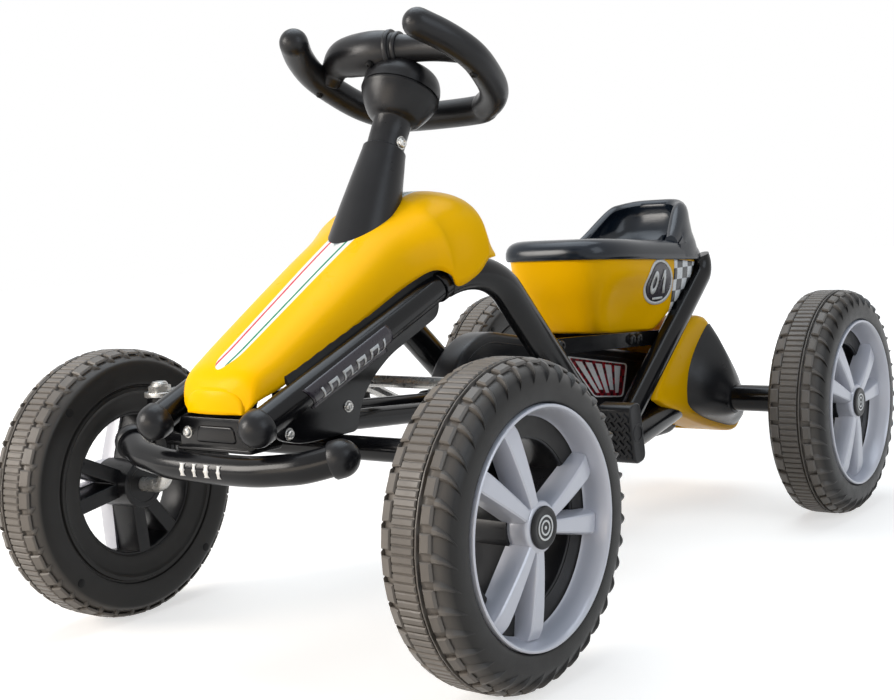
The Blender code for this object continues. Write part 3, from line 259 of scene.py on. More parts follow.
slotNames = {"plastic": "black_plastic", "dark": "black_plastic", "seat": "black_plastic",
             "zinc": "zinc_steel", "tube": "black_powder_coat", "yellow": "yellow_gloss",
             "silver": "rim_silver"}


def piece(name, shape, finishName, body, *nodes, sharp=38):
    # a shape in one finish, riding a body in place of the CAD nodes
    obj = makeObject(name, [(shape, paint[finishName])], sharp)
    fit(obj, body, slotNames[finishName], *nodes)
    return obj


def thicken(obj, depth, offset=1.0):
    wall = obj.modifiers.new("wall", "SOLIDIFY")
    wall.thickness, wall.offset = depth, offset


def label(name, shape, material, thick=0.0003):
    obj = makeObject(name, [(shape, material)], 60, recalc=False)
    thicken(obj, thick)
    fit(obj, "frame", "yellow_gloss" if "Seat" in name else "black_powder_coat")


def sleeve(bore, radius, low, high, cut, rise):
    # profile of a short tube with chamfered outer edges
    return [(bore, low), (radius - cut, low), (radius, low + rise), (radius, high - rise),
            (radius - cut, high), (bore, high)]


# materials
def nodeMaker(tree):
    def feed(node, values):
        for socket, value in values.items():
            if isinstance(value, bpy.types.NodeSocket):
                tree.links.new(value, node.inputs[socket])
            else:
                node.inputs[socket].default_value = value

    def add(kind, values=(), **settings):
        node = tree.nodes.new(kind)
        for key, value in settings.items():
            setattr(node, key, value)
        feed(node, dict(values))
        return node

    def calc(operation, *values):
        return add("ShaderNodeMath", dict(enumerate(values)), operation=operation).outputs[0]

    return add, calc, feed


def startMaterial(name):
    mat = bpy.data.materials.new(name)
    mat.use_nodes = True
    return mat, mat.node_tree.nodes["Principled BSDF"], *nodeMaker(mat.node_tree)


def rgba(colour):
    return (*colour, 1.0)


def noise(add, where, scale, detail):
    return add("ShaderNodeTexNoise", {"Vector": where, "Scale": scale, "Detail": detail}).outputs["Fac"]


def mixed(add, factor, low, high):
    # each end is a colour or a socket
    ends = [end if isinstance(end, bpy.types.NodeSocket) else rgba(end) for end in (low, high)]
    return add("ShaderNodeMix", {"Factor": factor, 6: ends[0], 7: ends[1]}, data_type="RGBA").outputs[2]


def finish(name, spec, pattern=None):
    # mottled colour, uneven roughness and a fine surface grain on one Principled shader
    mat, shader, add, calc, feed = startMaterial(name)
    where = add("ShaderNodeTexCoord").outputs["Object"]
    colour = mixed(add, noise(add, where, spec["cloud"], 4.0), spec["dark"], spec["colour"])
    if pattern:
        colour = pattern(add, calc, where, colour)
    rough = add("ShaderNodeMapRange", {"Value": noise(add, where, spec["cloud"] * wear["wornScale"], 6.0),
                                       "From Min": wear["roughFrom"], "From Max": wear["roughTo"],
                                       "To Min": spec["rough"][0], "To Max": spec["rough"][1]})
    bump = add("ShaderNodeBump", {"Height": noise(add, where, spec["grain"], 3.0), "Strength": spec["bump"],
                                  "Distance": wear["grainDepth"]})
    feed(shader,
         {"Base Color": colour, "Roughness": rough.outputs[0], "Normal": bump.outputs[0],
          "Metallic": spec.get("metal", 0.0), "Coat Weight": spec.get("coat", 0.0),
          "Coat Roughness": spec.get("coatRough", 0.05), "Specular IOR Level": spec.get("specular", 0.5)})
    return mat


# shared by every finish: size of the wear against the mottling, how rough it runs, depth of the grain
wear = {"wornScale": 3.1, "roughFrom": 0.3, "roughTo": 0.7, "grainDepth": 0.0004}
finishes = {"yellow": {"colour": (1.0, 0.53, 0.0), "dark": (0.95, 0.47, 0.0), "rough": (0.26, 0.36),
                       "cloud": 9, "grain": 420, "bump": 0.03, "specular": 0.05, "coat": 0.015,
                       "coatRough": 0.08},
            "tube": {"colour": (0.0055, 0.0055, 0.0062), "dark": (0.003, 0.003, 0.0038),
                     "rough": (0.15, 0.24), "cloud": 14, "grain": 900, "bump": 0.06, "specular": 0.24},
            "plastic": {"colour": (0.0125, 0.0125, 0.014), "dark": (0.008, 0.008, 0.009),
                        "rough": (0.27, 0.37), "cloud": 18, "grain": 1500, "bump": 0.16, "specular": 0.26},
            "seat": {"colour": (0.008, 0.013, 0.021), "dark": (0.005, 0.008, 0.013), "rough": (0.17, 0.26),
                     "cloud": 12, "grain": 1100, "bump": 0.05, "specular": 0.32},
            "tyre": {"colour": (0.020, 0.0185, 0.0172), "dark": (0.010, 0.0094, 0.0088),
                     "rough": (0.33, 0.46), "cloud": 30, "grain": 1300, "bump": 0.22, "specular": 0.26},
            "silver": {"colour": (0.60, 0.60, 0.64), "dark": (0.54, 0.54, 0.58), "rough": (0.28, 0.31),
                       "cloud": 7, "grain": 700, "bump": 0.0, "metal": 0.22},
            "zinc": {"colour": (0.66, 0.65, 0.62), "dark": (0.46, 0.45, 0.43), "rough": (0.22, 0.36),
                     "cloud": 60, "grain": 900, "bump": 0.05, "metal": 0.7},
            # near-black, used for painted shade: the gap strips under the bonnet, the tyre vents and the
            # steering wheel's screw holes
            "dark": {"colour": (0.004, 0.004, 0.0045), "dark": (0.002, 0.002, 0.002), "rough": (0.5, 0.7),
                     "cloud": 20, "grain": 900, "bump": 0.1, "specular": 0.2},
            "print": {"colour": (0.022, 0.016, 0.026), "dark": (0.014, 0.010, 0.017), "rough": (0.24, 0.32),
                      "cloud": 30, "grain": 900, "bump": 0.04},
            "white": {"colour": (0.76, 0.75, 0.72), "dark": (0.66, 0.65, 0.62), "rough": (0.25, 0.35),
                      "cloud": 60, "grain": 900, "bump": 0.03}}

stripe = {"nose": -0.3670, "end": -0.20, "roundEnd": 0.016, "noseHalf": 0.0092, "topHalf": 0.0150,
          "lineAt": 0.60, "lineHalf": 0.00105, "sharp": 2500.0,
          "white": (0.84, 0.82, 0.74), "red": (0.62, 0.03, 0.06), "green": (0.01, 0.22, 0.12)}


def bonnetStripe(add, calc, where, colour):
    # a white band widening up the bonnet, round at the nose, with a red and a green line in it
    split = add("ShaderNodeSeparateXYZ", {"Vector": where})
    x, y = split.outputs["X"], split.outputs["Y"]
    ahead = calc("SUBTRACT", y, stripe["nose"])
    along = calc("DIVIDE", ahead, stripe["end"] - stripe["nose"])
    half = calc("MULTIPLY_ADD", along, stripe["topHalf"] - stripe["noseHalf"], stripe["noseHalf"])
    left = calc("MINIMUM", calc("MAXIMUM", calc("DIVIDE", ahead, stripe["roundEnd"]), 0.0), 1.0)
    short = calc("SUBTRACT", 1.0, left)
    narrow = calc("SQRT", calc("MAXIMUM", calc("SUBTRACT", 1.0, calc("MULTIPLY", short, short)), 0.0))
    edge = calc("SUBTRACT", calc("MULTIPLY", half, narrow), calc("ABSOLUTE", x))
    band = calc("MINIMUM", calc("MAXIMUM", calc("MULTIPLY", edge, stripe["sharp"]), 0.0), 1.0)
    out = mixed(add, band, colour, stripe["white"])
    for line, s in (("red", -1), ("green", 1)):
        off = calc("ABSOLUTE", calc("SUBTRACT", x, calc("MULTIPLY", half, s * stripe["lineAt"])))
        out = mixed(add, calc("MULTIPLY", calc("LESS_THAN", off, stripe["lineHalf"]), band), out,
                    stripe[line])
    return out


# material's name, size of a square, light colour, dark colour
chequers = {"chequer": ("chequered print", 0.0118, (0.80, 0.80, 0.78), (0.02, 0.02, 0.02)),
            "redChequer": ("red chequered print", 0.0065, (0.30, 0.010, 0.018), (0.05, 0.004, 0.008))}


def chequer(size, light, dark):
    # squares across Y and Z
    def pattern(add, calc, where, colour):
        split = add("ShaderNodeSeparateXYZ", {"Vector": where})
        flat = add("ShaderNodeCombineXYZ", {"X": split.outputs["Y"], "Y": split.outputs["Z"]})
        check = add("ShaderNodeTexChecker", {"Vector": flat.outputs[0], "Color1": rgba(light),
                                             "Color2": rgba(dark), "Scale": 1 / size})
        return check.outputs["Color"]
    return pattern


# pale running face of the tyres: painted light on the tread, mixed with a dusty tint
treadDustAndLight = {"from": 0.1040, "to": 0.1125, "cloud": 38.0, "colour": (0.175, 0.155, 0.135),
        "dark": (0.105, 0.094, 0.083)}


def dustAndLitTread(add, calc, where, colour):
    # the running face of a tyre is painted paler than its side: painted light on the tread, mixed with a
    # dusty tint
    split = add("ShaderNodeSeparateXYZ", {"Vector": where})
    y = calc("SUBTRACT", calc("ABSOLUTE", split.outputs["Y"]), layout["wheelbase"] / 2)
    z = calc("SUBTRACT", split.outputs["Z"], layout["tyreRadius"])
    radius = calc("SQRT", calc("ADD", calc("MULTIPLY", y, y), calc("MULTIPLY", z, z)))
    out = add("ShaderNodeMapRange", {"Value": radius, "From Min": treadDustAndLight["from"], "From Max": treadDustAndLight["to"]})
    pale = mixed(add, noise(add, where, treadDustAndLight["cloud"], 4.0), treadDustAndLight["dark"], treadDustAndLight["colour"])
    return mixed(add, out.outputs[0], colour, pale)


patterns = {"tyre": dustAndLitTread}
paint = {name: finish(name, spec, patterns.get(name)) for name, spec in finishes.items()}
paint["bonnet"] = finish("striped yellow", finishes["yellow"], bonnetStripe)
for key, (name, *squares) in chequers.items():
    paint[key] = finish(name, finishes["white"], chequer(*squares))
print("materials ready")

# wheels, modelled with their axis along Z and the outside up
wheel = {"half": 0.026, "treadBase": 0.1113, "blocks": 40, "lipOut": 0.0314, "floor": 0.0119, "spokes": 3,
         "splay": 17, "spokeHalf": 0.0084, "hub": 0.0185, "web": 0.059, "webIn": 0.021, "bore": 0.0064,
         "crownFlat": 0.42, "crownDrop": 0.0052, "crownPower": 1.6, "spokeWide": 0.0125,
         "phase": {"frontLeft": 7, "frontRight": 8, "rearLeft": 21, "rearRight": 14}}
# share of the pitch taken, reach across the tyre, chamfer
blocks = (((0.14, 0.86), (0.0122, 0.0196), 0.0011), ((0.12, 0.88), (-0.0205, -0.0112), 0.0010))
smallBlock = {"count": 3, "share": (0.03, 0.30), "reach": (-0.0104, 0.0074), "chamfer": 0.0008}
tooth = {"rise": 0.0017, "width": 2.1, "curl": 6.5, "sunk": 0.0014, "innerDrop": 0.0042,
         "line": ((0.1106, 0.0196), (0.1094, 0.0226), (0.1070, 0.0252), (0.1042, 0.0278), (0.0995, 0.0290),
                  (0.0955, 0.0294))}


def polar(angle, radius, z):
    return (radius * math.cos(angle), radius * math.sin(angle), z)


def crown(z):
    # height of the tread blocks across the tyre
    flat, power = wheel["crownFlat"], wheel["crownPower"]
    past = max(0.0, abs(z) / wheel["half"] - flat)
    return layout["tyreRadius"] - 0.0002 - wheel["crownDrop"] * past ** power / (1 - flat) ** power


def treadBlock(angles, width, base, chamfer=0.0006):
    # one raised block with softened top edges
    a0, a1 = (math.radians(a) for a in angles)
    z0, z1 = width
    c = chamfer / layout["tyreRadius"]
    rows = []
    for inset, drop in ((0.0, None), (0.0, chamfer), (1.0, 0.0)):
        row = []
        for a, z, ca, cz in ((a0, z0, c, chamfer), (a1, z0, -c, chamfer), (a1, z1, -c, -chamfer),
                             (a0, z1, c, -chamfer)):
            at = z + cz * inset
            row.append(polar(a + ca * inset, base if drop is None else crown(at) - drop, at))
        rows.append(row)
    return loft(rows)


def shoulderTooth(middle, side):
    # crescent tooth that curls over the shoulder and dies out on the sidewall
    line = smoothLine(tooth["line"], 2)
    rows = []
    for k, (r, z) in enumerate(line):
        t = k / (len(line) - 1)
        a = math.radians(middle + tooth["curl"] * t * t)
        w = math.radians(tooth["width"] * (1 - t) ** 0.75) + 1e-5
        lift = tooth["rise"] * math.sin(math.pi * min(1.0, 0.35 + 0.65 * t)) ** 0.8 * (1 - 0.35 * t) + 0.0001
        if side < 0:
            z = z - tooth["innerDrop"] * min(1.0, t * 2)
        slope = 0.25 + 0.75 * t
        low = r - tooth["sunk"]
        rows.append([polar(a - w, low, side * (z - 0.0006)),
                     polar(a - w * 0.15, r + lift * (1 - slope * 0.6), side * (z + lift * slope)),
                     polar(a + w * 0.55, r + lift * (1 - slope * 0.6) * 0.9, side * (z + lift * slope * 0.9)),
                     polar(a + w, low, side * (z - 0.0006))])
    return loft(rows)


def startGroup(name, **inputs):
    # geometry comes in and goes out; the other inputs are given with the type of their socket
    tree = bpy.data.node_groups.new(name, "GeometryNodeTree")
    inputs = {"Geometry": "Geometry", **inputs, "Material": "Material"}
    for title, kind in inputs.items():
        tree.interface.new_socket(title, in_out="INPUT", socket_type=f"NodeSocket{kind}")
    tree.interface.new_socket("Geometry", in_out="OUTPUT", socket_type="NodeSocketGeometry")
    add = nodeMaker(tree)[0]
    return tree, add, add("NodeGroupInput").outputs


def endGroup(add, source, points, instance, rotation, **more):
    # a copy on every point, turned, made real and given the material
    copies = add("GeometryNodeInstanceOnPoints",
                 {"Points": points, "Instance": instance, "Rotation": rotation, **more})
    real = add("GeometryNodeRealizeInstances", {"Geometry": copies.outputs[0]})
    skin = add("GeometryNodeSetMaterial", {"Geometry": real.outputs[0], "Material": source["Material"]})
    add("NodeGroupOutput", {"Geometry": skin.outputs[0]})


def ringRepeatTree():
    # copies the incoming shape round Z
    tree, add, source = startGroup("ring repeat", Count="Int")
    line = add("GeometryNodeMeshLine", {"Count": source["Count"], "Offset": (0, 0, 0)})
    index = add("GeometryNodeInputIndex")
    share = add("ShaderNodeMath", {0: index.outputs[0], 1: source["Count"]}, operation="DIVIDE")
    turn = add("ShaderNodeMath", {0: share.outputs[0], 1: 2 * math.pi}, operation="MULTIPLY")
    spin = add("ShaderNodeCombineXYZ", {"Z": turn.outputs[0]})
    endGroup(add, source, line.outputs[0], source["Geometry"], spin.outputs[0])
    return tree


def boltTree():
    # stands a copy of one bolt on every point, turned to the direction in the point's "aim" attribute
    tree, add, source = startGroup("bolts on points", Bolt="Object", Size="Float")
    one = add("GeometryNodeObjectInfo", {"Object": source["Bolt"]}, transform_space="ORIGINAL")
    aim = add("GeometryNodeInputNamedAttribute", {"Name": "aim"}, data_type="FLOAT_VECTOR")
    turn = add("FunctionNodeAlignRotationToVector", {"Vector": aim.outputs[0]}, axis="Z")
    endGroup(add, source, source["Geometry"], one.outputs["Geometry"], turn.outputs[0], Scale=source["Size"])
    return tree


def runTree(obj, tree, **values):
    # fills the modifier's inputs by identifier, then returns the result as a plain mesh
    modifier = obj.modifiers.new(tree.name, "NODES")
    modifier.node_group = tree
    for item in tree.interface.items_tree:
        if item.item_type == "SOCKET" and item.in_out == "INPUT" and item.name in values:
            modifier[item.identifier] = values[item.name]
    bpy.context.view_layer.update()
    depsgraph = bpy.context.evaluated_depsgraph_get()
    mesh = bpy.data.meshes.new_from_object(obj.evaluated_get(depsgraph))
    bpy.data.objects.remove(obj)
    return mesh


def shapeOf(mesh):
    return [v.co.copy() for v in mesh.vertices], [tuple(p.vertices) for p in mesh.polygons]


ringRepeat = ringRepeatTree()
boltsOnPoints = boltTree()


def treadRing():
    pitch = 360 / wheel["blocks"]
    base = wheel["treadBase"] - 0.0006
    unit = [treadBlock([pitch * share for share in shares], reach, base, chamfer)
            for shares, reach, chamfer in blocks]
    unit += [treadBlock((0, pitch), (0.0092, 0.0102), base - 0.0004, 0.0002),
             shoulderTooth(pitch * 0.02, 1), shoulderTooth(pitch * 0.02, -1)]
    small = smallBlock
    for k in range(small["count"]):
        start = pitch * k / small["count"]
        unit.append(treadBlock([start + pitch * share for share in small["share"]], small["reach"], base,
                               small["chamfer"]))
    seed = makeObject("tread unit", [(together(*unit), paint["tyre"])])
    return shapeOf(runTree(seed, ringRepeat, Count=wheel["blocks"], Material=paint["tyre"]))


def carcass():
    h, base, web, floor = wheel["half"], wheel["treadBase"], wheel["webIn"], wheel["floor"] - 0.0008
    outer = smoothLine([(0.0843, h + 0.0022), (0.0862, h + 0.0038), (0.0920, h + 0.0042),
                        (0.0985, h + 0.0034), (0.1034, h + 0.0008), (0.1070, h - 0.0026),
                        (0.1095, h - 0.0070), (base, h - 0.0125)], 4)
    inner = smoothLine([(base, -h + 0.0125), (0.1095, -h + 0.0070), (0.1070, -h + 0.0032),
                        (0.1040, -h + 0.0004), (0.0970, -h - 0.0003), (0.0880, -h + 0.0004),
                        (0.0850, -h + 0.0010)], 4)
    groove = [(0.0842, -h + 0.0026), (0.0830, -h + 0.0026), (0.0822, -h + 0.0008), (0.0795, -h + 0.0010)]
    dish = smoothLine([(0.0780, -h + 0.0022), (0.0700, -h + 0.0040), (0.0640, -web - 0.0002),
                       (0.0615, -web + 0.0006), (0.0608, -0.018)], 3)
    back = [(0.0608, floor), (0.0842, floor)]
    band = lathe([(0.1108, -0.0108), (0.1132, -0.0105), (0.1132, 0.0072), (0.1108, 0.0078)], steps=96,
                 ring=True)
    return together(lathe(outer + inner + groove + dish + back, steps=96, ring=True), band)


def windows(outer, hub, width, splay, steps=10):
    # openings between three pairs of straight spokes
    holes = []
    pair, rest = 2 * splay, 2 * math.pi / 3 - 2 * splay
    for k in range(3):
        for middle, spread in ((2 * math.pi * k / 3, pair), (2 * math.pi * k / 3 + math.pi / 3, rest)):
            rimHalf = spread / 2 - math.asin(width / 2 / outer)
            start = max(hub, width / 2 / math.sin(spread / 2) + 0.001)
            hubHalf = spread / 2 - math.asin(min(1.0, width / 2 / start))
            arc = [(outer, middle - rimHalf + 2 * rimHalf * i / steps) for i in range(steps + 1)]
            root = [(start, middle + hubHalf - 2 * hubHalf * i / 4)
                    for i in range(5 if hubHalf > 0.01 else 1)]
            holes.append([(r * math.cos(a), r * math.sin(a)) for r, a in arc + root])
    return holes


def webShape():
    splay = math.radians(wheel["splay"])
    thick = wheel["floor"] - 0.0013 + wheel["webIn"] - 0.002
    middle = wheel["floor"] - 0.0013 - thick / 2
    r = wheel["hub"] + 0.002
    star = slab([circle(wheel["web"] + 0.004, 96)] + windows(wheel["web"], r, wheel["spokeWide"], splay),
                thick, Matrix.Translation((0, 0, middle)), 0.0012, 2)
    hub = lathe([(wheel["bore"], -0.0296), (0.0150, -0.0296), (0.0156, -0.0300), (0.0190, -0.0300),
                 (r, -0.0288), (r, wheel["floor"] - 0.001), (wheel["bore"], wheel["floor"] - 0.001)],
                steps=48, ring=True)
    return star, hub


def rimShape():
    out, floor = wheel["lipOut"], wheel["floor"]
    lip = [(0.0837, out - 0.0016), (0.0834, out - 0.0005), (0.0825, out), (0.0815, out - 0.0003),
           (0.0806, out - 0.0016)]
    dish = smoothLine([(0.0800, out - 0.0032), (0.0786, 0.0235), (0.0768, 0.0165), (0.0756, floor + 0.0012)],
                      3)
    shapes = [lathe(lip + dish + [(0.0748, floor), (0.0837, floor)], steps=96, ring=True)]
    w, r = wheel["spokeHalf"], wheel["hub"]
    stations = [(r - 0.004, 0.0262, 0.74, 0.50), (0.030, 0.0264, 0.84, 0.60), (0.050, 0.0256, 0.98, 0.74),
                (0.0655, 0.0244, 1.08, 0.84), (0.0715, 0.0232, 1.12, 0.86), (0.0770, 0.0206, 1.15, 0.84)]
    rows = []
    for at, top, wide, flat in smoothLine(stations, 3):
        half, crest = w * wide, w * flat
        flank = [(crest - 0.0012, top), (crest, top - 0.0008), (crest + 0.0012, top - 0.0040),
                 (half, floor + 0.0015), (half, floor - 0.004)]
        rows.append([(at, -y, z) for y, z in reversed(flank)] + [(at, y, z) for y, z in flank])
    for k in range(wheel["spokes"]):
        for side in (-1, 1):
            turn = Matrix.Rotation(math.radians(120 * k + side * wheel["splay"]), 4, "Z")
            shapes.append(loft(rows, place=turn))
    boss = smoothLine([(r, floor - 0.002), (r, 0.0200), (r - 0.0004, 0.0245), (r - 0.0014, 0.0262),
                       (r - 0.0026, 0.0269)], 2)
    shapes.append(lathe([(wheel["bore"], floor - 0.002)] + boss + [(wheel["bore"], 0.0269)], steps=48,
                        ring=True))
    return together(*shapes)


def hubCapShapes():
    base = wheel["lipOut"] - 0.0042
    top = base + 0.0022
    low, edge, high = top - 0.0004, top + 0.0003, top + 0.0004
    face = lathe([(0, base), (0.0146, base), (0.0148, base + 0.0008), (0.0142, base + 0.0020),
                  (0.0128, base + 0.0026), (0.0112, top), (0, top)], steps=48)
    rings = [lathe([(r, low), (r, edge), (r + 0.0002, high), (r + 0.0011, high), (r + 0.0013, edge),
                    (r + 0.0013, low)], steps=48, ring=True)
             for r in (0.0040, 0.0074)]
    dot = lathe([(0, low), (0.0013, low), (0.0013, edge), (0.0011, high), (0, high)], steps=24)
    return face, together(dot, *rings)


def ventShape():
    # blind vent holes moulded in the inner sidewall, drawn as near-black discs: painted shade in the holes
    shapes = []
    for k in range(4):
        a = math.radians(38 + 90 * k)
        at = Matrix.Translation(polar(a, 0.0990, -wheel["half"] - 0.0004))
        shapes.append(lathe([(0, 0.001), (0.0036, 0.001), (0.0036, -0.0001), (0.0033, -0.00025),
                             (0, -0.00025)], at, 20))
    return together(*shapes)


def buildWheels():
    tread, body, (star, hub), rim = treadRing(), carcass(), webShape(), rimShape()
    (cap, rings), vents = hubCapShapes(), ventShape()
    # piece, CAD node, slot, sharp angle, shapes with their finishes
    pieces = (("tyre", "tyre", "tyre_black", 30,
               # the vents' near-black is painted shade in the holes
               ((together(body, tread), "tyre"), (together(star, hub), "plastic"), (vents, "dark"))),
              ("rim", "rim", "rim_silver", 26, ((rim, "silver"),)),
              ("hubCap", "hub_cap", "black_plastic", 40, ((cap, "plastic"), (rings, "white"))))
    toe = math.radians(layout["toe"])
    out = layout["track"] / 2 - layout["kingpin"]
    for title, side, s in sides:
        for axle, end in (("front", "Front"), ("rear", "Rear")):
            if axle == "front":
                centre = front(s * (layout["kingpin"] + out * math.cos(toe)), -out * math.sin(toe), 0)
                turn, riding = Matrix.Rotation(-s * toe, 4, "Z"), f"front_wheel_{side}"
            else:
                centre, turn, riding = rear(s * layout["track"] / 2, 0, 0), Matrix.Identity(4), "rear_axle"
            phase = Matrix.Rotation(math.radians(wheel["phase"][axle + title]), 4, "Z")
            place = Matrix.Translation(centre) @ turn @ facingOut(0, s) @ phase
            for name, node, slotName, sharp, shapes in pieces:
                obj = makeObject(f"{name}{end}{title}",
                                 [(moved(shape, place), paint[key]) for shape, key in shapes], sharp)
                fit(obj, riding, slotName, f"{node}_{axle}_{side}")


buildWheels()
print("wheels ready")

# frame tubes
tubes = {"sideRadius": 0.0115, "slope": 22.2, "noseAhead": 0.087, "noseUp": 0.072, "sideX": 0.053,
         "sideRearX": 0.0605, "sideRear": 0.127, "mainRadius": 0.014, "mainBend": 0.070, "lowBend": 0.040,
         "rearRadius": 0.0118, "rearBend": 0.020, "capRadius": 0.0137, "capSkirt": 0.006,
         "gussetThick": 0.004, "capGap": 0.0063, "collar": 0.012, "collarHigh": 0.0016, "plateOut": 0.0015,
         "corner": (0.058, -0.208, -0.0255), "knee": (0.074, 0.169), "foot": (0.044, -0.0155),
         "stayTop": (0.058, 0.009, 0.140), "stayEnd": (0.0535, 0.163), "stayShare": 0.55,
         "gusset": [(0.126, 0.1588), (0.126, 0.1325), (0.060, 0.107), (0.040, 0.094), (0.028, 0.083),
                    (0.0195, 0.069), (0.0165, 0.0543), (-0.038, 0.0543), (-0.050, 0.0555), (-0.071, 0.0615),
                    (-0.073, 0.0777)]}


def sideHeight(back):
    return tubes["noseUp"] + (back + tubes["noseAhead"]) * math.tan(math.radians(tubes["slope"]))


def ballCap(at, axis):
    r = tubes["capRadius"]
    arc = [(r * math.sin(a), r * math.cos(a)) for a in (math.pi * k / 24 for k in range(13))]
    place = pointing(at, axis)
    rim = [(r, -tubes["capSkirt"] + 0.0008), (r - 0.0006, -tubes["capSkirt"]), (0, -tubes["capSkirt"])]
    return lathe(arc + rim, place, 40)


def softCorners(points, reach=0.006, steps=5):
    # rounds the corners of a closed flat outline
    out = []
    n = len(points)
    for i in range(n):
        a, b, c = (Vector(points[(i + k) % n]).to_2d() for k in (-1, 0, 1))
        u, v = a - b, c - b
        cut = min(reach, u.length * 0.45, v.length * 0.45)
        p, q = b + u.normalized() * cut, b + v.normalized() * cut
        out += [tuple(p.lerp(b, t).lerp(b.lerp(q, t), t)) for t in (k / steps for k in range(steps + 1))]
    return out


lowCorner = rear(*tubes["corner"])
knee = front(*tubes["knee"], sideHeight(tubes["knee"][1]))
mainStart = front(tubes["sideRearX"], tubes["sideRear"] + 0.0003, sideHeight(tubes["sideRear"]))


def buildFrame():
    y0, z0 = front(0, 0, 0).y, front(0, 0, 0).z
    gusset = softCorners([(y0 + back, z0 + up) for back, up in tubes["gusset"]], 0.010)
    for title, side, s in sides:
        nose = front(s * tubes["sideX"], -tubes["noseAhead"], tubes["noseUp"])
        end = mirrored(mainStart, s)
        along = (end - nose).normalized()
        piece(f"sideTubeCap{title}", ballCap(nose, -along), "plastic", "frame", f"side_tube_cap_{side}")
        bar = pipe([nose + along * tubes["capGap"], nose.lerp(end, 0.5), end - along * 0.001],
                   tubes["sideRadius"], 40)
        plate = slab([gusset], tubes["gussetThick"], sideView(s * (tubes["sideX"] + tubes["plateOut"])),
                     0.0007)
        collar = pipe([end - along * tubes["collar"], end - along * 0.0012],
                      tubes["sideRadius"] + tubes["collarHigh"], 40)
        piece(f"sideTube{title}", together(bar, plate, collar), "tube", "frame", f"side_tube_{side}")
        corners = [end, mirrored(knee, s), mirrored(lowCorner, s),
                   rear(s * tubes["foot"][0], tubes["foot"][1], 0)]
        upper = bent(corners[:3], tubes["mainBend"], 14)[:-1]
        lower = bent(corners[1:], tubes["lowBend"], 10)[1:]
        piece(f"mainTube{title}", pipe(upper + lower, tubes["mainRadius"], 40), "tube", "frame",
              f"main_tube_{side}")
        top = mirrored(rear(*tubes["stayTop"]), s)
        end = top.lerp(rear(s * tubes["stayEnd"][0], 0, tubes["stayEnd"][1]), tubes["stayShare"])
        stay = bent([mirrored(lowCorner, s), top, end], tubes["rearBend"], 10)
        piece(f"rearTube{title}", pipe(stay, tubes["rearRadius"], 36), "tube", "frame", f"rear_tube_{side}")


bumper = {"half": 0.108, "ahead": 0.083, "sweep": 0.020, "rise": 0.011, "up": 0.0398, "radius": 0.0112,
          "barsAt": (-0.019, -0.0065, 0.006, 0.0185), "barHalf": (0.0030, 0.0022), "barTurn": 24,
          "capGap": 0.0045, "barWaist": 0.62,
          "path": ((0.0, 0.0), (0.22, 0.005), (0.42, 0.05), (0.60, 0.20), (0.79, 0.43), (1.0, 0.97))}


def buildBumper():
    b = bumper
    half = smoothLine([(b["half"] * across, -b["ahead"] + b["sweep"] * sweep, b["up"] + b["rise"] * sweep)
                       for across, sweep in b["path"]], 5)
    path = [front(-x, y, z) for x, y, z in reversed(half[1:])] + [front(*p) for p in half]
    for title, side, tip, inner in (("Right", "right", 0, 1), ("Left", "left", -1, -2)):
        away = (path[tip] - path[inner]).normalized()
        piece(f"bumperCap{title}", ballCap(path[tip], away), "plastic", "frame", f"bumper_cap_{side}")
        path[tip] = path[tip] - away * b["capGap"]
    piece("bumperTube", pipe(path, b["radius"], 36), "tube", "frame", "bumper")
    # four plain bars along the front of the tube
    bars = []
    r = b["radius"] + 0.0002
    for i, x in enumerate(b["barsAt"]):
        rows = []
        for k in range(9):
            a = math.radians(b["barTurn"] * (k / 4 - 1))
            at = front(x, -b["ahead"] - r * math.cos(a), b["up"] + r * math.sin(a) + 0.0002)
            wide = Vector((b["barHalf"][i % 2] * (1.0 if k in (0, 4, 8) else b["barWaist"]), 0, 0))
            rows.append([at - wide, at + wide])
        bars.append(loft(rows, closed=False, caps=(False, False)))
    label("bumperMarks", together(*bars), paint["white"])


buildFrame()
buildBumper()
print("frame tubes ready")

# beam, knuckles, rails and housings
under = {"beamUp": 0.045, "beamRadius": 0.009, "sleeveRadius": 0.011, "sleeve": (0.022, 0.076),
         "shaft": 0.006, "armUp": 0.0763, "armLength": 0.080, "armThick": 0.004, "nutUp": 0.0806,
         "nutTall": 0.007, "railX": 0.0381, "railRadius": 0.008, "railUp": 0.0624, "railDrop": 0.083,
         "railEnds": (-0.013, 0.236), "hangerX": 0.0456, "crank": (-0.040, 0.149), "housingRadius": 0.014,
         "housing": (0.0138, 0.163), "beamShort": 0.0113, "spindleOut": 0.0819, "spindleTop": 0.0888,
         "spindleBend": 0.0135, "studTop": 0.0884, "studRadius": 0.0035, "armEnds": (0.013, 0.009),
         "armBore": 0.0066, "crankPlate": 0.018, "railPlate": 0.0095, "plateIn": (-0.008, 0.0007),
         "plateTail": (0.021, -0.0145), "plateThick": 0.004, "nutAcross": 0.0095, "bore": 0.0064,
         "washer": ((0.0062, 0.0165), (0.0098, 0.0165), (0.0102, 0.0169), (0.0102, 0.0176), (0.0096, 0.0180),
                    (0.0096, 0.0214), (0.0062, 0.0216)),
         "bush": (0.0060, 0.0105, -0.007, 0.014, 0.0005, 0.0005)}


def belt(discs, grow=0.0, steps=48):
    # outline of a tight band round discs given as (x, y, radius)
    points = [Vector(p) for x, y, r in discs for p in circle(r + grow, steps, x, y)]
    order = geometry.convex_hull_2d(points)
    return [tuple(points[i]) for i in order]


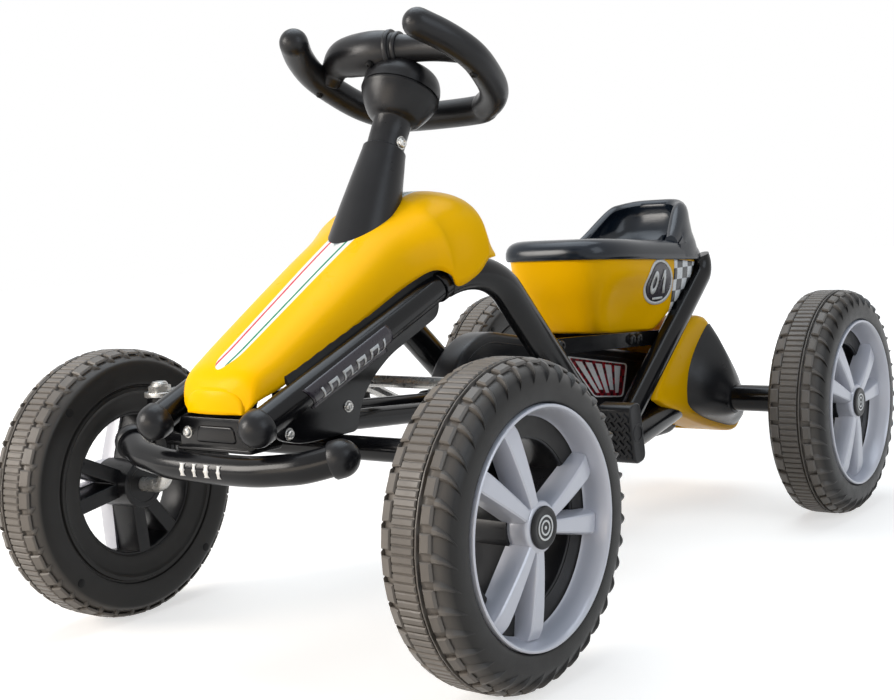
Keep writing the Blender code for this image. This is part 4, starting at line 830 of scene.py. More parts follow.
def hexNut(at, across, tall, hole, place):
    # six-sided nut with chamfered corners and a domed collar, standing on z = at
    rows = []
    for h, shrink in ((0, 0.94), (0.0007, 1.0), (tall * 0.62, 1.0), (tall * 0.68, 0.93)):
        row = []
        for k in range(36):
            a = 2 * math.pi * k / 36
            flat = across * min(math.cos(math.pi / 6) / math.cos((a % (math.pi / 3)) - math.pi / 6), shrink)
            row.append((flat * math.cos(a), flat * math.sin(a), at + h))
        rows.append(row)
    collar = [(across * r, tall * h) for r, h in ((0.74, 0.70), (0.72, 0.92), (0.66, 1.0))]
    rows += [[(x, y, at + h) for x, y in circle(r, 36)] for r, h in collar + [(hole, tall), (hole, 0)]]
    return loft(rows, place=place, ring=True)


def buildUnderneath():
    u = under
    reach = layout["kingpin"] - u["beamShort"]
    shapes = [pipe([front(-reach, 0, u["beamUp"]), front(reach, 0, u["beamUp"])], u["beamRadius"], 36)]
    low, high = u["sleeve"]
    r, bore = u["sleeveRadius"], u["shaft"] + 0.0004
    toe = math.radians(layout["toe"])
    for title, side, s in sides:
        shapes.append(lathe(sleeve(bore, r, low, high, 0.0007, 0.0007),
                            Matrix.Translation(front(s * layout["kingpin"], 0, 0)), 40, ring=True))
    piece("frontBeam", together(*shapes), "tube", "frame", "front_beam")
    for title, side, s in sides:
        buildKnuckle(title, side, s, toe)
        buildRail(title, side, s)
        buildHousing(title, side, s)


def buildKnuckle(title, side, s, toe):
    u, body, x, out = under, f"knuckle_{side}", s * layout["kingpin"], under["spindleOut"]
    at = Matrix.Translation(front(x, 0, 0))
    tip = front(x + s * out * math.cos(toe), -out * math.sin(toe), 0)
    line = bent([front(x, 0, u["spindleTop"]), front(x, 0, 0), tip], u["spindleBend"], 10)
    washer = lathe(u["washer"], at, 32, ring=True)
    piece(f"spindle{title}", together(pipe(line, u["shaft"], 32), washer), "zinc", body, f"spindle_{side}")
    wide, narrow = u["armEnds"]
    shape = belt(((0, 0, wide), (0, u["armLength"], narrow)))
    arm = slab([shape, circle(u["armBore"], 32)], u["armThick"],
               Matrix.Translation(front(x, 0, u["armUp"] + u["armThick"] / 2)), 0.0006)
    stud = pipe([front(x, u["armLength"], u["armUp"] + 0.001), front(x, u["armLength"], u["studTop"])],
                u["studRadius"], 20)
    piece(f"steeringArm{title}", together(arm, stud), "zinc", body, f"steering_arm_{side}")
    nut = hexNut(u["nutUp"], u["nutAcross"], u["nutTall"], u["bore"], at)
    piece(f"kingpinNut{title}", nut, "zinc", body, f"kingpin_nut_{side}", sharp=30)


def buildRail(title, side, s):
    u = under
    x = s * u["railX"]
    ends = [front(x, back, u["railUp"] - u["railDrop"] * back) for back in u["railEnds"]]
    y0, z0 = u["crank"]
    y1, z1 = ends[1].y + u["plateIn"][0], ends[1].z + u["plateIn"][1]
    y2, z2 = y1 + u["plateTail"][0], z1 + u["plateTail"][1]
    shape = belt(((y0, z0, u["crankPlate"]), (y1, z1, u["railPlate"]), (y2, z2, u["railPlate"])), steps=24)
    hanger = slab([softCorners(shape, 0.001, 1)], u["plateThick"], sideView(s * u["hangerX"]), 0.0006)
    bush = lathe(sleeve(*u["bush"]), facingOut(s * u["hangerX"], s, y0, z0), 36, ring=True)
    piece(f"lowerRail{title}", together(pipe(ends, u["railRadius"], 32), hanger, bush), "tube", "frame",
          f"lower_rail_{side}")


def buildHousing(title, side, s):
    r = under["housingRadius"]
    a, b = under["housing"]
    along = facingOut(0, s, axlePoint.y, axlePoint.z)
    tube = lathe([(r - 0.0006, a), (r, a + 0.0006), (r, b - 0.0010), (r - 0.0008, b), (0.0108, b),
                  (0.0106, b - 0.0006), (0.0106, a)], along, 40, ring=True)
    ring = lathe([(r - 0.0002, b - 0.012), (r + 0.0016, b - 0.0116), (r + 0.0018, b - 0.010),
                  (r + 0.0018, b - 0.0022), (r + 0.0014, b - 0.0016), (r - 0.0002, b - 0.0016)], along, 40,
                 ring=True)
    piece(f"axleHousing{title}", together(tube, ring), "tube", "frame", f"axle_housing_{side}")


buildUnderneath()
print("underneath ready")

# bonnet; stations give back, bow, top, edge, half width
bonnet = {"stations": ((-0.0785, -0.004, 0.097, 0.079, 0.029), (-0.0695, 0.000, 0.111, 0.088, 0.038),
                       (-0.048, 0.000, 0.124, 0.0975, 0.045), (-0.003, 0.000, 0.1515, 0.1190, 0.050),
                       (0.047, 0.000, 0.182, 0.1430, 0.0545), (0.085, 0.000, 0.204, 0.160, 0.058),
                       (0.107, 0.000, 0.215, 0.1695, 0.067), (0.119, 0.000, 0.222, 0.165, 0.0755),
                       (0.132, 0.007, 0.2285, 0.1555, 0.0785), (0.157, 0.014, 0.2345, 0.164, 0.085),
                       (0.181, 0.026, 0.2320, 0.175, 0.087), (0.199, 0.041, 0.2185, 0.176, 0.087),
                       (0.210, 0.048, 0.199, 0.1765, 0.0865), (0.214, 0.047, 0.186, 0.177, 0.086)),
          "power": (3.0, 2.45), "across": 72, "wall": 0.0025, "noseRows": 9, "noseOut": 0.0026,
          "noseFall": 0.0178, "noseNarrow": 0.0030}
cover = {"low": -0.046, "top": 0.0686, "baseRadius": 0.0322, "topRadius": 0.0182, "lean": 0.0075,
         "neck": 0.0163, "bulgeAt": (0.12, 0.3, 0.5, 0.7, 0.88, 0.97), "bulge": 0.0006}
# how far inside the bonnet's edge the near-black strip stands, and where it meets the tube; the strip is
# painted shade in the gap under the edge
gapShade = {"stations": (2, 9), "inner": 0.0062, "outer": 0.0036, "up": 0.010, "share": 0.6, "onTube": 0.004,
         "tubeIn": 0.001, "spread": 0.0075, "spreadLength": 0.214}


def coverRing(along, radius, shift, steps=64):
    return [(x, y, along) for x, y in circle(radius, steps, 0, shift)]


def hollowOut(obj, *cutters):
    # takes the cutters' volumes out and keeps the plain result
    for cutter in cutters:
        take = obj.modifiers.new("cut", "BOOLEAN")
        take.operation, take.object, take.solver, take.use_self = "DIFFERENCE", cutter, "EXACT", True
    bpy.context.view_layer.update()
    mesh = bpy.data.meshes.new_from_object(obj.evaluated_get(bpy.context.evaluated_depsgraph_get()))
    obj.modifiers.clear()
    old = obj.data
    obj.data = mesh
    bpy.data.meshes.remove(old)
    for cutter in cutters:
        bpy.data.objects.remove(cutter)


def boxShape(low, high):
    (x0, y0, z0), (x1, y1, z1) = low, high
    return loft([[(x0, y0, z), (x1, y0, z), (x1, y1, z), (x0, y1, z)] for z in (z0, z1)])


def bonnetRow(back, bow, top, edge, half, share):
    p = bonnet["power"][0] + (bonnet["power"][1] - bonnet["power"][0]) * share
    row = []
    for i in range(bonnet["across"] + 1):
        a = math.pi * i / bonnet["across"]
        c = math.copysign(abs(math.cos(a)) ** (2 / p), math.cos(a))
        row.append(front(half * c, back - bow * c * c,
                         edge + (top - edge) * max(0.0, math.sin(a)) ** (2 / p)))
    return row


def buildBonnet():
    stations = bonnet["stations"]
    span = stations[-1][0] - stations[0][0]
    fine = smoothLine(stations, 5)
    rows = [bonnetRow(*station, (station[0] - stations[0][0]) / span) for station in fine]
    # the nose rolls over into a blunt front
    nose = []
    back, bow, top, edge, half = stations[0]
    for k in range(bonnet["noseRows"], 0, -1):
        turn = math.pi / 2 * k / bonnet["noseRows"]
        fall = 1 - math.cos(turn)
        nose.append((back - bonnet["noseOut"] * math.sin(turn), bow, top - bonnet["noseFall"] * fall, edge,
                     half - bonnet["noseNarrow"] * fall))
    rows = [bonnetRow(*station, 0) for station in nose] + rows
    shell = makeObject("bonnetShell", [(loft(rows, closed=False, caps=(False, False)), paint["bonnet"])])
    if max(shell.data.polygons, key=lambda p: p.center.z).normal.z < 0:
        shell.data.flip_normals()
    thicken(shell, bonnet["wall"], -1.0)
    b, t, r = cover["low"], cover["top"], cover["baseRadius"]
    hole = [coverRing(b - 0.03, r - 0.0006, cover["lean"]), coverRing(b, r - 0.0006, cover["lean"]),
            coverRing(t, cover["topRadius"] - 0.0006, 0)]
    cutter = makeObject("coverHole", [(loft(hole, place=columnPlace), paint["dark"])])
    hollowOut(shell, cutter)
    fit(shell, "frame", "yellow_gloss", "bonnet")
    rings = [coverRing(b, r - 0.0025, cover["lean"]), coverRing(b, r, cover["lean"])]
    for f in cover["bulgeAt"]:
        bulge = cover["bulge"] * math.sin(math.pi * f)
        rings.append(coverRing(b + (t - b) * f, r + (cover["topRadius"] - r) * f + bulge,
                               cover["lean"] * (1 - f)))
    rings += [coverRing(t - 0.0008, cover["topRadius"] + 0.0003, 0),
              coverRing(t, cover["topRadius"] - 0.0005, 0), coverRing(t, cover["neck"], 0),
              coverRing(t - 0.004, cover["neck"], 0)]
    piece("columnCover", loft(rings, place=columnPlace, ring=True), "plastic", "frame", "column_cover")


def buildGapShade():
    # near-black strip that closes the gap between the bonnet's edge and each side tube: painted shade where
    # the gap shows dark
    n = gapShade
    for title, _, s in sides:
        rows = []
        for back, _, top, edge, half in smoothLine(bonnet["stations"][slice(*n["stations"])], 4):
            level = min(edge + n["up"], edge + (top - edge) * n["share"])
            x = tubes["sideX"] + n["spread"] * (back + tubes["noseAhead"]) / n["spreadLength"]
            onTube = sideHeight(back) + n["onTube"]
            rows.append([front(s * (half - n["inner"]), back, level),
                         front(s * (half - n["outer"]), back, level),
                         front(s * (x + n["tubeIn"]), back, onTube),
                         front(s * (x - n["onTube"]), back, onTube)])
        # the strip's near-black finish is painted shade in the gap
        piece(f"bonnetLiner{title}", loft(rows), "dark", "frame")


buildBonnet()
buildGapShade()
print("bonnet ready")

# steering wheel and its hub, in the column's own frame: x, towards the driver, along the column
steering = {"plane": 0.1367, "shift": 0.0088, "grip": 0.0123, "hubRadius": 0.0333, "hubTop": 0.1465,
            "ring": ((0.036, -0.0490), (0.053, -0.0420), (0.0655, -0.0320), (0.0748, -0.0185),
                     (0.0808, 0.0000), (0.0848, 0.0240), (0.0830, 0.0425), (0.0765, 0.0620),
                     (0.0660, 0.0808)),
            "bar": ((-0.0775, 0.018, 0.000, 0.0098), (-0.069, 0.0245, 0.009, 0.0118),
                    (-0.056, 0.031, 0.0128, 0.0158), (-0.042, 0.034, 0.0130, 0.0178),
                    (-0.020, 0.0345, 0.0130, 0.0186), (-0.004, 0.0335, 0.0140, 0.0168),
                    (0.004, 0.032, 0.0150, 0.0138), (0.014, 0.030, 0.0155, 0.0118),
                    (0.030, 0.027, 0.0160, 0.0112), (0.047, 0.0245, 0.0150, 0.0110),
                    (0.062, 0.0235, 0.0125, 0.0110), (0.0795, 0.0235, 0.0080, 0.0105)),
            "bands": (-0.0005, 0.0062), "bandHigh": 0.0016,
            "neck": ((0.0086, 0.1183), (0.0086, 0.0606), (0.0148, 0.0600), (0.0158, 0.0608), (0.0160, 0.0800),
                     (0.0161, 0.0945))}


def onColumn(along, side=0.0, x=0.0):
    return columnPlace @ Vector((x, side, along))


def buildSteering():
    st = steering
    half = list(st["ring"])
    outline = smoothLine([(-x, s) for x, s in reversed(half)] + half, 6)
    ring = pipe([onColumn(st["plane"], st["shift"] - s, x) for x, s in outline], st["grip"], 36,
                dome=st["grip"])
    bar = smoothLine(st["bar"], 5)
    path = [onColumn(st["plane"] + rise, st["shift"] - s, x) for x, s, rise, _ in bar]
    shapes = [ring, pipe(path, [r for *_, r in bar], 36)]
    for at in st["bands"]:
        k = min(range(len(bar)), key=lambda i: abs(bar[i][0] - at))
        aim = (path[k + 1] - path[k - 1]).normalized()
        r = bar[k][3] + st["bandHigh"]
        shapes.append(lathe(sleeve(r - 0.004, r, -0.0022, 0.0022, 0.0006, 0.0008), pointing(path[k], aim), 40,
                            ring=True))
    piece("steeringWheel", together(*shapes), "plastic", "steering", "steering_wheel", sharp=50)
    r, top = st["hubRadius"], st["hubTop"]
    cup = smoothLine([(0.0168, 0.0955), (0.0205, 0.0975), (0.0232, 0.1000), (0.0272, 0.1060),
                      (0.0312, 0.1135), (r, 0.1195)], 4)
    dome = smoothLine([(r, 0.1262), (r - 0.0006, 0.1320), (r - 0.0036, 0.1392), (r - 0.0095, top - 0.0030),
                       (r - 0.0200, top), (0.0, top + 0.0003)], 4)
    seam = [(r + 0.0004, 0.1202), (r + 0.0004, 0.1214), (r - 0.0008, 0.1218), (r - 0.0008, 0.1226),
            (r + 0.0002, 0.1230)]
    profile = list(st["neck"]) + cup + seam + dome
    piece("steeringHub", lathe(profile, columnPlace, 56), "plastic", "steering", "steering_hub", sharp=42)


buildSteering()
print("steering ready")

# chain case and pedals
caseSizes = {"front": (-0.040, 0.149, 0.0705), "rear": (0.297, 0.115, 0.0435), "half": 0.0135, "edge": 0.0045,
             "panel": ((0.087, 0.183), (0.208, 0.161), (0.196, 0.127), (0.137, 0.135)), "slats": 5,
             "slatShare": (0.02, 0.150), "slatReach": (0.98, 0.88)}


def blended(a, b, t):
    return tuple(p + (q - p) * t for p, q in zip(a, b))


def inset(points, by):
    middle = [sum(p[i] for p in points) / len(points) for i in (0, 1)]
    return [blended(p, middle, by) for p in points]


def buildCase():
    c = caseSizes
    outline = belt((c["front"], c["rear"]))
    body = slab([outline], c["half"] * 2, sideView(0), c["edge"], 4)
    rim = slab([belt((c["front"], c["rear"]), -0.009), belt((c["front"], c["rear"]), -0.0105)],
               c["half"] * 2 + 0.0012, sideView(0), 0.0004)
    piece("chainCase", together(body, rim), "plastic", "frame", "chain_guard_left", "chain_guard_right")
    for title, _, s in sides:
        x = s * (c["half"] + 0.0003)
        raised = sideView(x + s * 0.0002)
        panel = softCorners(c["panel"], 0.006)
        border = slab([panel, softCorners(inset(c["panel"], 0.07), 0.005)], 0.0006, raised, 0.0001, 0)
        field = slab([panel], 0.0005, sideView(x), 0.0001, 0)
        slats = []
        a, b, d, e = inset(c["panel"], 0.20)
        for k in range(c["slats"]):
            t0, t1 = (k / c["slats"] + share for share in c["slatShare"])
            high0, high1 = blended(a, b, t0), blended(a, b, t1)
            low0, low1 = blended(e, d, t0), blended(e, d, t1)
            reach = c["slatReach"][k % 2]
            slats.append(slab([[high0, high1, blended(high1, low1, reach), blended(high0, low0, reach)]],
                              0.0006, raised, 0.0001, 0))
        obj = makeObject(f"casePanel{title}", [(field, paint["redChequer"]), (border, paint["white"]),
                                               (together(*slats), paint["white"])])
        fit(obj, "frame", "black_plastic")


pedalSizes = {"throw": 0.061, "angle": -25, "x": 0.1138, "wide": 0.034, "long": 0.055, "thick": 0.025,
              "tilt": 8, "zigs": 5, "rise": 0.0022, "zigHalf": 0.0022, "corner": 0.0085, "zigIn": 0.0105,
              "zigEnd": 0.0025, "zigTurns": 8, "zigFoot": 0.0026, "zigCrest": 0.0018}


def buildPedals():
    p = pedalSizes
    for title, side, s in sides:
        a = math.radians(p["angle"])
        y0, z0 = under["crank"]
        centre = Vector((s * p["x"], y0 + s * p["throw"] * math.cos(a), z0 + s * p["throw"] * math.sin(a)))
        place = Matrix.Translation(centre) @ Matrix.Rotation(math.radians(p["tilt"]), 4, "X") @ sideView(0)
        halfT, halfL, halfW = p["thick"] / 2 - p["rise"], p["long"] / 2, p["wide"] / 2
        core = slab([softCorners([(-halfT, -halfL), (halfT, -halfL), (halfT, halfL), (-halfT, halfL)],
                                 p["corner"], 6)], p["wide"], place, 0.0018, 3)
        shapes = [core]
        for face in (-1, 1):
            for k in range(p["zigs"]):
                at = (halfL - p["zigIn"]) * (2 * k / (p["zigs"] - 1) - 1)
                rows = []
                for j in range(p["zigTurns"] + 1):
                    z = (halfW - p["zigEnd"]) * (2 * j / p["zigTurns"] - 1)
                    zig = at + p["zigHalf"] * (1 if j % 2 else -1)
                    foot, crest = face * (halfT - 0.001), face * (halfT + p["rise"] - 0.0004)
                    rows.append([(foot, zig - p["zigFoot"], z), (crest, zig - p["zigCrest"], z),
                                 (crest, zig + p["zigCrest"], z), (foot, zig + p["zigFoot"], z)])
                shapes.append(loft(rows, place=place))
        boss = sleeve(0.0062, 0.0090, -halfW - 0.0006, halfW + 0.0006, 0.0004, 0.0006)
        shapes.append(lathe(boss, place, 32, ring=True))
        piece(f"pedal{title}", together(*shapes), "plastic", f"pedal_{side}", f"pedal_{side}", sharp=32)


buildCase()
buildPedals()
print("drive ready")

# fairing round the rear axle and its boots
fairing = {"half": 0.062, "edge": 0.008, "wall": 0.0025, "steps": 120, "insertOut": 0.095,
           "endShares": (0.92, 0.7, 0.4, 0.12), "endBulge": 0.0012, "frameHalf": 0.0065, "gateHalf": 0.015,
           "edgeSteps": 6,
           "neck": ((0.0, 0.0), (0.045, 0.0), (0.07, 0.018), (0.14, 0.07), (0.25, 0.15), (0.40, 0.27),
                    (0.58, 0.44), (0.75, 0.63), (0.88, 0.82), (0.96, 0.95), (1.0, 1.0)),
           "outline": ((-0.020, 0.0890), (-0.050, 0.0765), (-0.069, 0.0640), (-0.086, 0.0505),
                       (-0.106, 0.0300), (-0.117, 0.0150), (-0.112, 0.0090), (-0.080, -0.0040),
                       (-0.050, -0.0155), (-0.010, -0.0290), (0.030, -0.0410), (0.060, -0.0475),
                       (0.077, -0.0455), (0.0870, -0.0340), (0.0850, -0.0120), (0.055, 0.0350),
                       (0.014, 0.0800), (0.000, 0.0885)),
           "insert": ((0.004, 0.0780), (-0.026, 0.0560), (-0.044, 0.0330), (-0.050, 0.0080),
                      (-0.043, -0.0060), (-0.010, -0.0220), (0.040, -0.0370), (0.066, -0.0410),
                      (0.0790, -0.0330), (0.0780, -0.0120), (0.052, 0.0300), (0.015, 0.0740))}


def radial(outline, steps):
    # the outline's points at even angles round the axle
    points = []
    for i in range(steps):
        a = 2 * math.pi * i / steps
        c, s = math.cos(a), math.sin(a)
        reach = 0.0
        for (x0, y0), (x1, y1) in zip(outline, outline[1:] + outline[:1]):
            ex, ey = x1 - x0, y1 - y0
            det = ex * s - ey * c
            if abs(det) < 1e-12:
                continue
            f = (y0 * c - x0 * s) / det
            r = (x0 + f * ex) * c + (y0 + f * ey) * s
            if -1e-9 <= f <= 1 + 1e-9:
                reach = max(reach, r)
        points.append((reach * c, reach * s))
    return points


def sectionAt(x, outline, reach):
    # the outline across one place on X, each distance from the axle changed by reach
    row = []
    for y, z in outline:
        size = math.hypot(y, z)
        row.append(rear(x, y * reach(size) / size, z * reach(size) / size))
    return row


def buildFairing():
    f = fairing
    around = radial(smoothLine(f["outline"], 6, closed=True), f["steps"])
    half, edge = f["half"], f["edge"]
    profile = []
    for k in range(f["edgeSteps"] + 1):
        a = math.pi / 2 * k / f["edgeSteps"]
        profile.append((half - edge + edge * math.cos(a), edge * (1 - math.sin(a))))
    stations = [(-x, shrink) for x, shrink in profile] + [(x, shrink) for x, shrink in reversed(profile)]
    rows = [sectionAt(x, around, lambda size: size - shrink) for x, shrink in stations]
    ends = []
    for s, ring in ((-1, rows[0]), (1, rows[-1])):
        ends.append([[Vector((p.x + s * f["endBulge"] * (1 - k), axlePoint.y + (p.y - axlePoint.y) * k,
                              axlePoint.z + (p.z - axlePoint.z) * k)) for p in ring] for k in f["endShares"]])
    rows = list(reversed(ends[0])) + rows + ends[1]
    shell = makeObject("rearFairing", [(loft(rows), paint["yellow"])], 50)
    thicken(shell, f["wall"], -1.0)
    wide, gate = half - f["frameHalf"], f["gateHalf"]
    openings = (("frontGate", rear(-wide, -0.16, -0.06), rear(wide, -0.052, 0.072)),
                ("floorGate", rear(-gate, -0.08, -0.06), rear(gate, 0.045, -0.012)))
    hollowOut(shell,
              *(makeObject(name, [(boxShape(low, high), paint["dark"])]) for name, low, high in openings))
    shell.data.shade_smooth()
    shell.data.set_sharp_from_angle(angle=math.radians(40))
    fit(shell, "frame", "yellow_gloss", "rear_fairing")
    base = radial(smoothLine(f["insert"], 6, closed=True), 96)
    reachIn = under["housingRadius"] + 0.003
    start, end = half - 0.001, f["insertOut"]
    for title, side, s in sides:
        rows = [sectionAt(s * (start + (end - start) * share), base,
                          lambda size: size + (reachIn - size) * blend)
                for share, blend in smoothLine(f["neck"], 3)]
        rows.append([rear(s * (end + 0.0006), (p.y - axlePoint.y) * 0.94, (p.z - axlePoint.z) * 0.94)
                     for p in rows[-1]])
        piece(f"fairingBoot{title}", loft(rows), "plastic", "frame", f"fairing_insert_{side}", sharp=50)


buildFairing()
print("fairing ready")

# seat
seat = {"ahead": 0.1045, "up": 0.156, "tilt": -3.4, "tubHalf": 0.063, "cushionHalf": 0.067, "length": 0.237,
        "levels": ((0.0037, 1.0, -0.1145, 0.1010, 0.0), (-0.0143, 0.985, -0.1100, 0.0950, 0.0),
                   (-0.0303, 0.95, -0.1030, 0.0790, 0.13), (-0.0483, 0.91, -0.0910, 0.0560, 0.25),
                   (-0.0643, 0.86, -0.0800, 0.0370, 0.30), (-0.0713, 0.82, -0.0740, 0.0290, 0.30),
                   (-0.0733, 0.77, -0.0680, 0.0240, 0.28)),
        "tubPower": (4.0, 9.0), "cushionPower": (4.0, 4.6), "recessAt": -0.035, "recessLength": 0.054,
        "backHigh": 0.0685, "backThick": 0.017, "backSteps": 88, "lip": 0.0195}
seatPlace = (Matrix.Translation(rear(0, -seat["ahead"], seat["up"]))
             @ Matrix.Rotation(math.radians(seat["tilt"]), 4, "X"))


def softBox(halfX, halfY, powers, steps, midY=0.0):
    # rounded rectangle with its own squareness ahead and behind
    points = []
    for i in range(steps):
        a = 2 * math.pi * (i + 0.5) / steps
        c, s = math.cos(a), math.sin(a)
        power = powers[1] if s > 0 else powers[0]
        points.append((halfX * math.copysign(abs(c) ** (2 / power), c),
                       midY + halfY * math.copysign(abs(s) ** (2 / power), s)))
    return points


def buildTub():
    rows = []
    fine = smoothLine(seat["levels"][:-1], 6) + [seat["levels"][-1]]
    for level, wide, ahead, behind, recess in fine:
        row = []
        for x, y in softBox(seat["tubHalf"] * wide, (behind - ahead) / 2, seat["tubPower"], 144,
                            (behind + ahead) / 2):
            hollow = recess * math.exp(-abs((y - seat["recessAt"]) / seat["recessLength"]) ** 3.2)
            row.append(Vector((x * (1 - hollow), y, level)))
        rows.append(row)
    lip = [[Vector((p.x * 0.985, p.y * 0.99, 0.0046)) for p in rows[0]]]
    last = rows[-1]
    centre = sum(last, Vector()) / len(last)
    floor = [[centre + (p - centre) * k + Vector((0, 0, 0.0008 * (1 - k))) for p in last]
             for k in (0.85, 0.5, 0.15)]
    tub = piece("seatTub", loft(lip + rows + floor, place=seatPlace), "yellow", "frame", "seat_base",
                sharp=50)
    return tub


def eased(value):
    value = min(1.0, max(0.0, value))
    return value * value * (3 - 2 * value)


def backrestSection(i, steps):
    a = math.pi * (0.06 + 0.88 * i / steps)
    c, s = math.cos(a), math.sin(a)
    x, y = math.copysign(abs(c) ** (2 / 3.6), c), s ** (2 / 3.6)
    rise = eased((y * seat["length"] / 2 - 0.030) / 0.066)
    high = seat["lip"] + (seat["backHigh"] - seat["lip"]) * rise - 0.011 * x ** 4 * rise
    lean, thick, pocket = 0.009 * rise, seat["backThick"] - 0.001, 0.0055 * rise
    narrow, flare = 0.0105 * rise, 0.0055 * rise
    wide, deep = seat["cushionHalf"] - 0.001, seat["length"] / 2 - 0.002
    # drawn in, level, share of the lean, share of the narrowing
    line = [(-flare, 0.003, 0.0, 0.0), (-flare * 0.9, 0.010, 0.0, 0.0),
            (-flare * 0.6, 0.016 + 0.004 * rise, 0.1, 0.12), (-flare * 0.2, high * 0.48, 0.3, 0.36),
            (0.0004, high * 0.68, 0.6, 0.62), (0.0010, high - 0.0110, 0.85, 0.84),
            (0.0022, high - 0.0058, 0.95, 0.94), (0.0046, high - 0.0020, 1.0, 1.0),
            (0.0076, high - 0.0003, 1.0, 1.0), (thick - 0.0070, high - 0.0003, 1.0, 1.0),
            (thick - 0.0032, high - 0.0022, 0.98, 1.0), (thick - 0.0010, high - 0.0060, 0.93, 0.95),
            (thick - 0.0008 - pocket * 0.25, high - 0.0092, 0.88, 0.9),
            (thick - pocket * 0.85, high - 0.0130, 0.8, 0.82),
            (thick + 0.0004 - pocket, high * 0.72, 0.68, 0.7),
            (thick + 0.0010 - pocket, high * 0.55, 0.42, 0.45),
            (thick + 0.0022 - pocket * 0.8, 0.0255 + 0.003 * rise, 0.2, 0.2),
            (thick + 0.0070, 0.0205, 0.0, 0.0), (thick + 0.0110, 0.0180, 0.0, 0.0),
            (thick + 0.0110, 0.008, 0.0, 0.0)]
    return [Vector(((wide - ins - narrow * pull) * x, (deep - ins) * y + lean * part, z))
            for ins, z, part, pull in line]


def buildCushion():
    half, length = seat["cushionHalf"], seat["length"]
    powers = seat["cushionPower"]
    edge = [(0.0, 0.0022), (0.0010, 0.0006), (0.0030, 0.0), (0.0085, 0.0002), (0.0125, 0.0014),
            (0.0160, 0.0042), (0.0185, 0.0082), (0.0200, 0.0130), (0.0206, 0.0180)]
    rows = []
    for level, ins in edge:
        row = []
        for x, y in softBox(half, length / 2, powers, 144):
            grow = 0.0055 * eased((y / (length / 2) - 0.45) / 0.5) * max(0.0, 1 - level / 0.019) - ins
            size = math.hypot(x, y)
            row.append((x * (1 + grow / size), y * (1 + grow / size), level))
        rows.append(row)
    for k in (0.80, 0.64, 0.46, 0.28, 0.10):
        dish = 0.0045 * (1 - (k / 0.86) ** 2)
        rows.append([(x * k, y * k, 0.0206 - dish) for x, y in softBox(half, length / 2, powers, 144)])
    pad = loft(rows, place=seatPlace)
    steps = seat["backSteps"]
    back = loft([backrestSection(i, steps) for i in range(steps + 1)], place=seatPlace)
    piece("seatMoulding", together(pad, back), "seat", "frame", "seat_cushion", sharp=50)


tub = buildTub()
buildCushion()
print("seat ready")

# bolts, bracket and printed marks
def solidOf(*objects):
    points, faces = [], []
    for obj in objects:
        faces += [tuple(i + len(points) for i in p.vertices) for p in obj.data.polygons]
        points += [v.co.copy() for v in obj.data.vertices]
    return BVHTree.FromPolygons(points, faces)


def printed(flat, surface, s, lift=0.00035):
    # lays flat (y, z) points on the surface seen from one side
    points = []
    for y, z in flat[0]:
        hit, normal, *_ = surface.ray_cast(Vector((s * 0.3, y, z)), Vector((-s, 0, 0)))
        if hit is None:
            hit, normal, *_ = surface.find_nearest(Vector((s * 0.06, y, z)))
        if normal.x * s < 0:
            normal = -normal
        points.append(hit + normal * lift)
    faces = [tuple(reversed(f)) if s < 0 else f for f in flat[1]]
    return points, faces


def sheet(corners, across, along):
    # grid between four (y, z) corners
    a, b, c, d = corners
    points = [blended(blended(a, b, i / across), blended(d, c, i / across), j / along)
              for j in range(along + 1) for i in range(across + 1)]
    n = across + 1
    return points, [(j * n + i, (j + 1) * n + i, (j + 1) * n + i + 1, j * n + i + 1)
                    for j in range(along) for i in range(across)]


def quadOn(s, corners, across, along):
    # the same way round from either side
    a, b, c, d = corners
    return sheet(corners if s > 0 else (b, a, d, c), across, along)


def disc(y, z, halfY, halfZ, inner=0.0, steps=48, rings=4):
    points, faces = [], []
    for k in range(rings + 1):
        f = inner + (1 - inner) * k / rings
        points += [(y + halfY * f * c, z + halfZ * f * s) for c, s in circle(1, steps)]
    for k in range(rings):
        for i in range(steps):
            m = (i + 1) % steps
            faces.append((k * steps + i, (k + 1) * steps + i, (k + 1) * steps + m, k * steps + m))
    return points, faces


# the strokes of a plain 1, in half widths and half heights
oneStrokes = (((-0.3, -2), (-0.3, 2), (0.4, 2), (0.4, -2)),
              ((-0.9, 0.9), (-0.3, 2), (-0.3, 1.2), (-0.9, 0.4)))
roundel = {"at": (0.2010, 0.2475), "half": (0.0262, 0.0238), "inner": 0.86, "field": 0.865, "lean": 0.2,
           "digitAt": 0.0088, "zero": (0.0062, 0.0120, 0.50), "digit": (0.0056, 0.0060), "barHalf": 0.008,
           "barAt": (-0.0155, -0.0180)}
marks = {"chequer": ((0.2290, 0.2690), (0.2905, 0.2625), (0.2440, 0.2155), (0.2290, 0.2140)),
         "label": ((-0.3473, 0.2091), (-0.2540, 0.2472), (-0.2415, 0.2257), (-0.3296, 0.1933)), "waves": 9,
         "waveStart": 0.12, "waveLength": 0.76, "low": 0.28, "high": 0.66, "stroke": 0.11, "post": 0.24}


def leaned(flat):
    # shears the roundel so that it stands upright on the sloping moulding
    z = roundel["at"][1]
    return [(at - roundel["lean"] * (height - z), height) for at, height in flat[0]], flat[1]


def numberShapes(s):
    # a plain 0 and 1 over a bar
    r, (y, z) = roundel, roundel["at"]
    wide, tall = r["digit"]
    strokes = [disc(y - s * r["digitAt"], z, *r["zero"], rings=2)]
    for quad in oneStrokes:
        strokes.append(quadOn(s, [(y + s * (r["digitAt"] + wide * u), z + tall * v) for u, v in quad], 3, 6))
    (top, low), half = r["barAt"], s * r["barHalf"]
    bar = [(y - half, z + top), (y + half, z + top), (y + half, z + low), (y - half, z + low)]
    strokes.append(quadOn(s, bar, 6, 1))
    return strokes


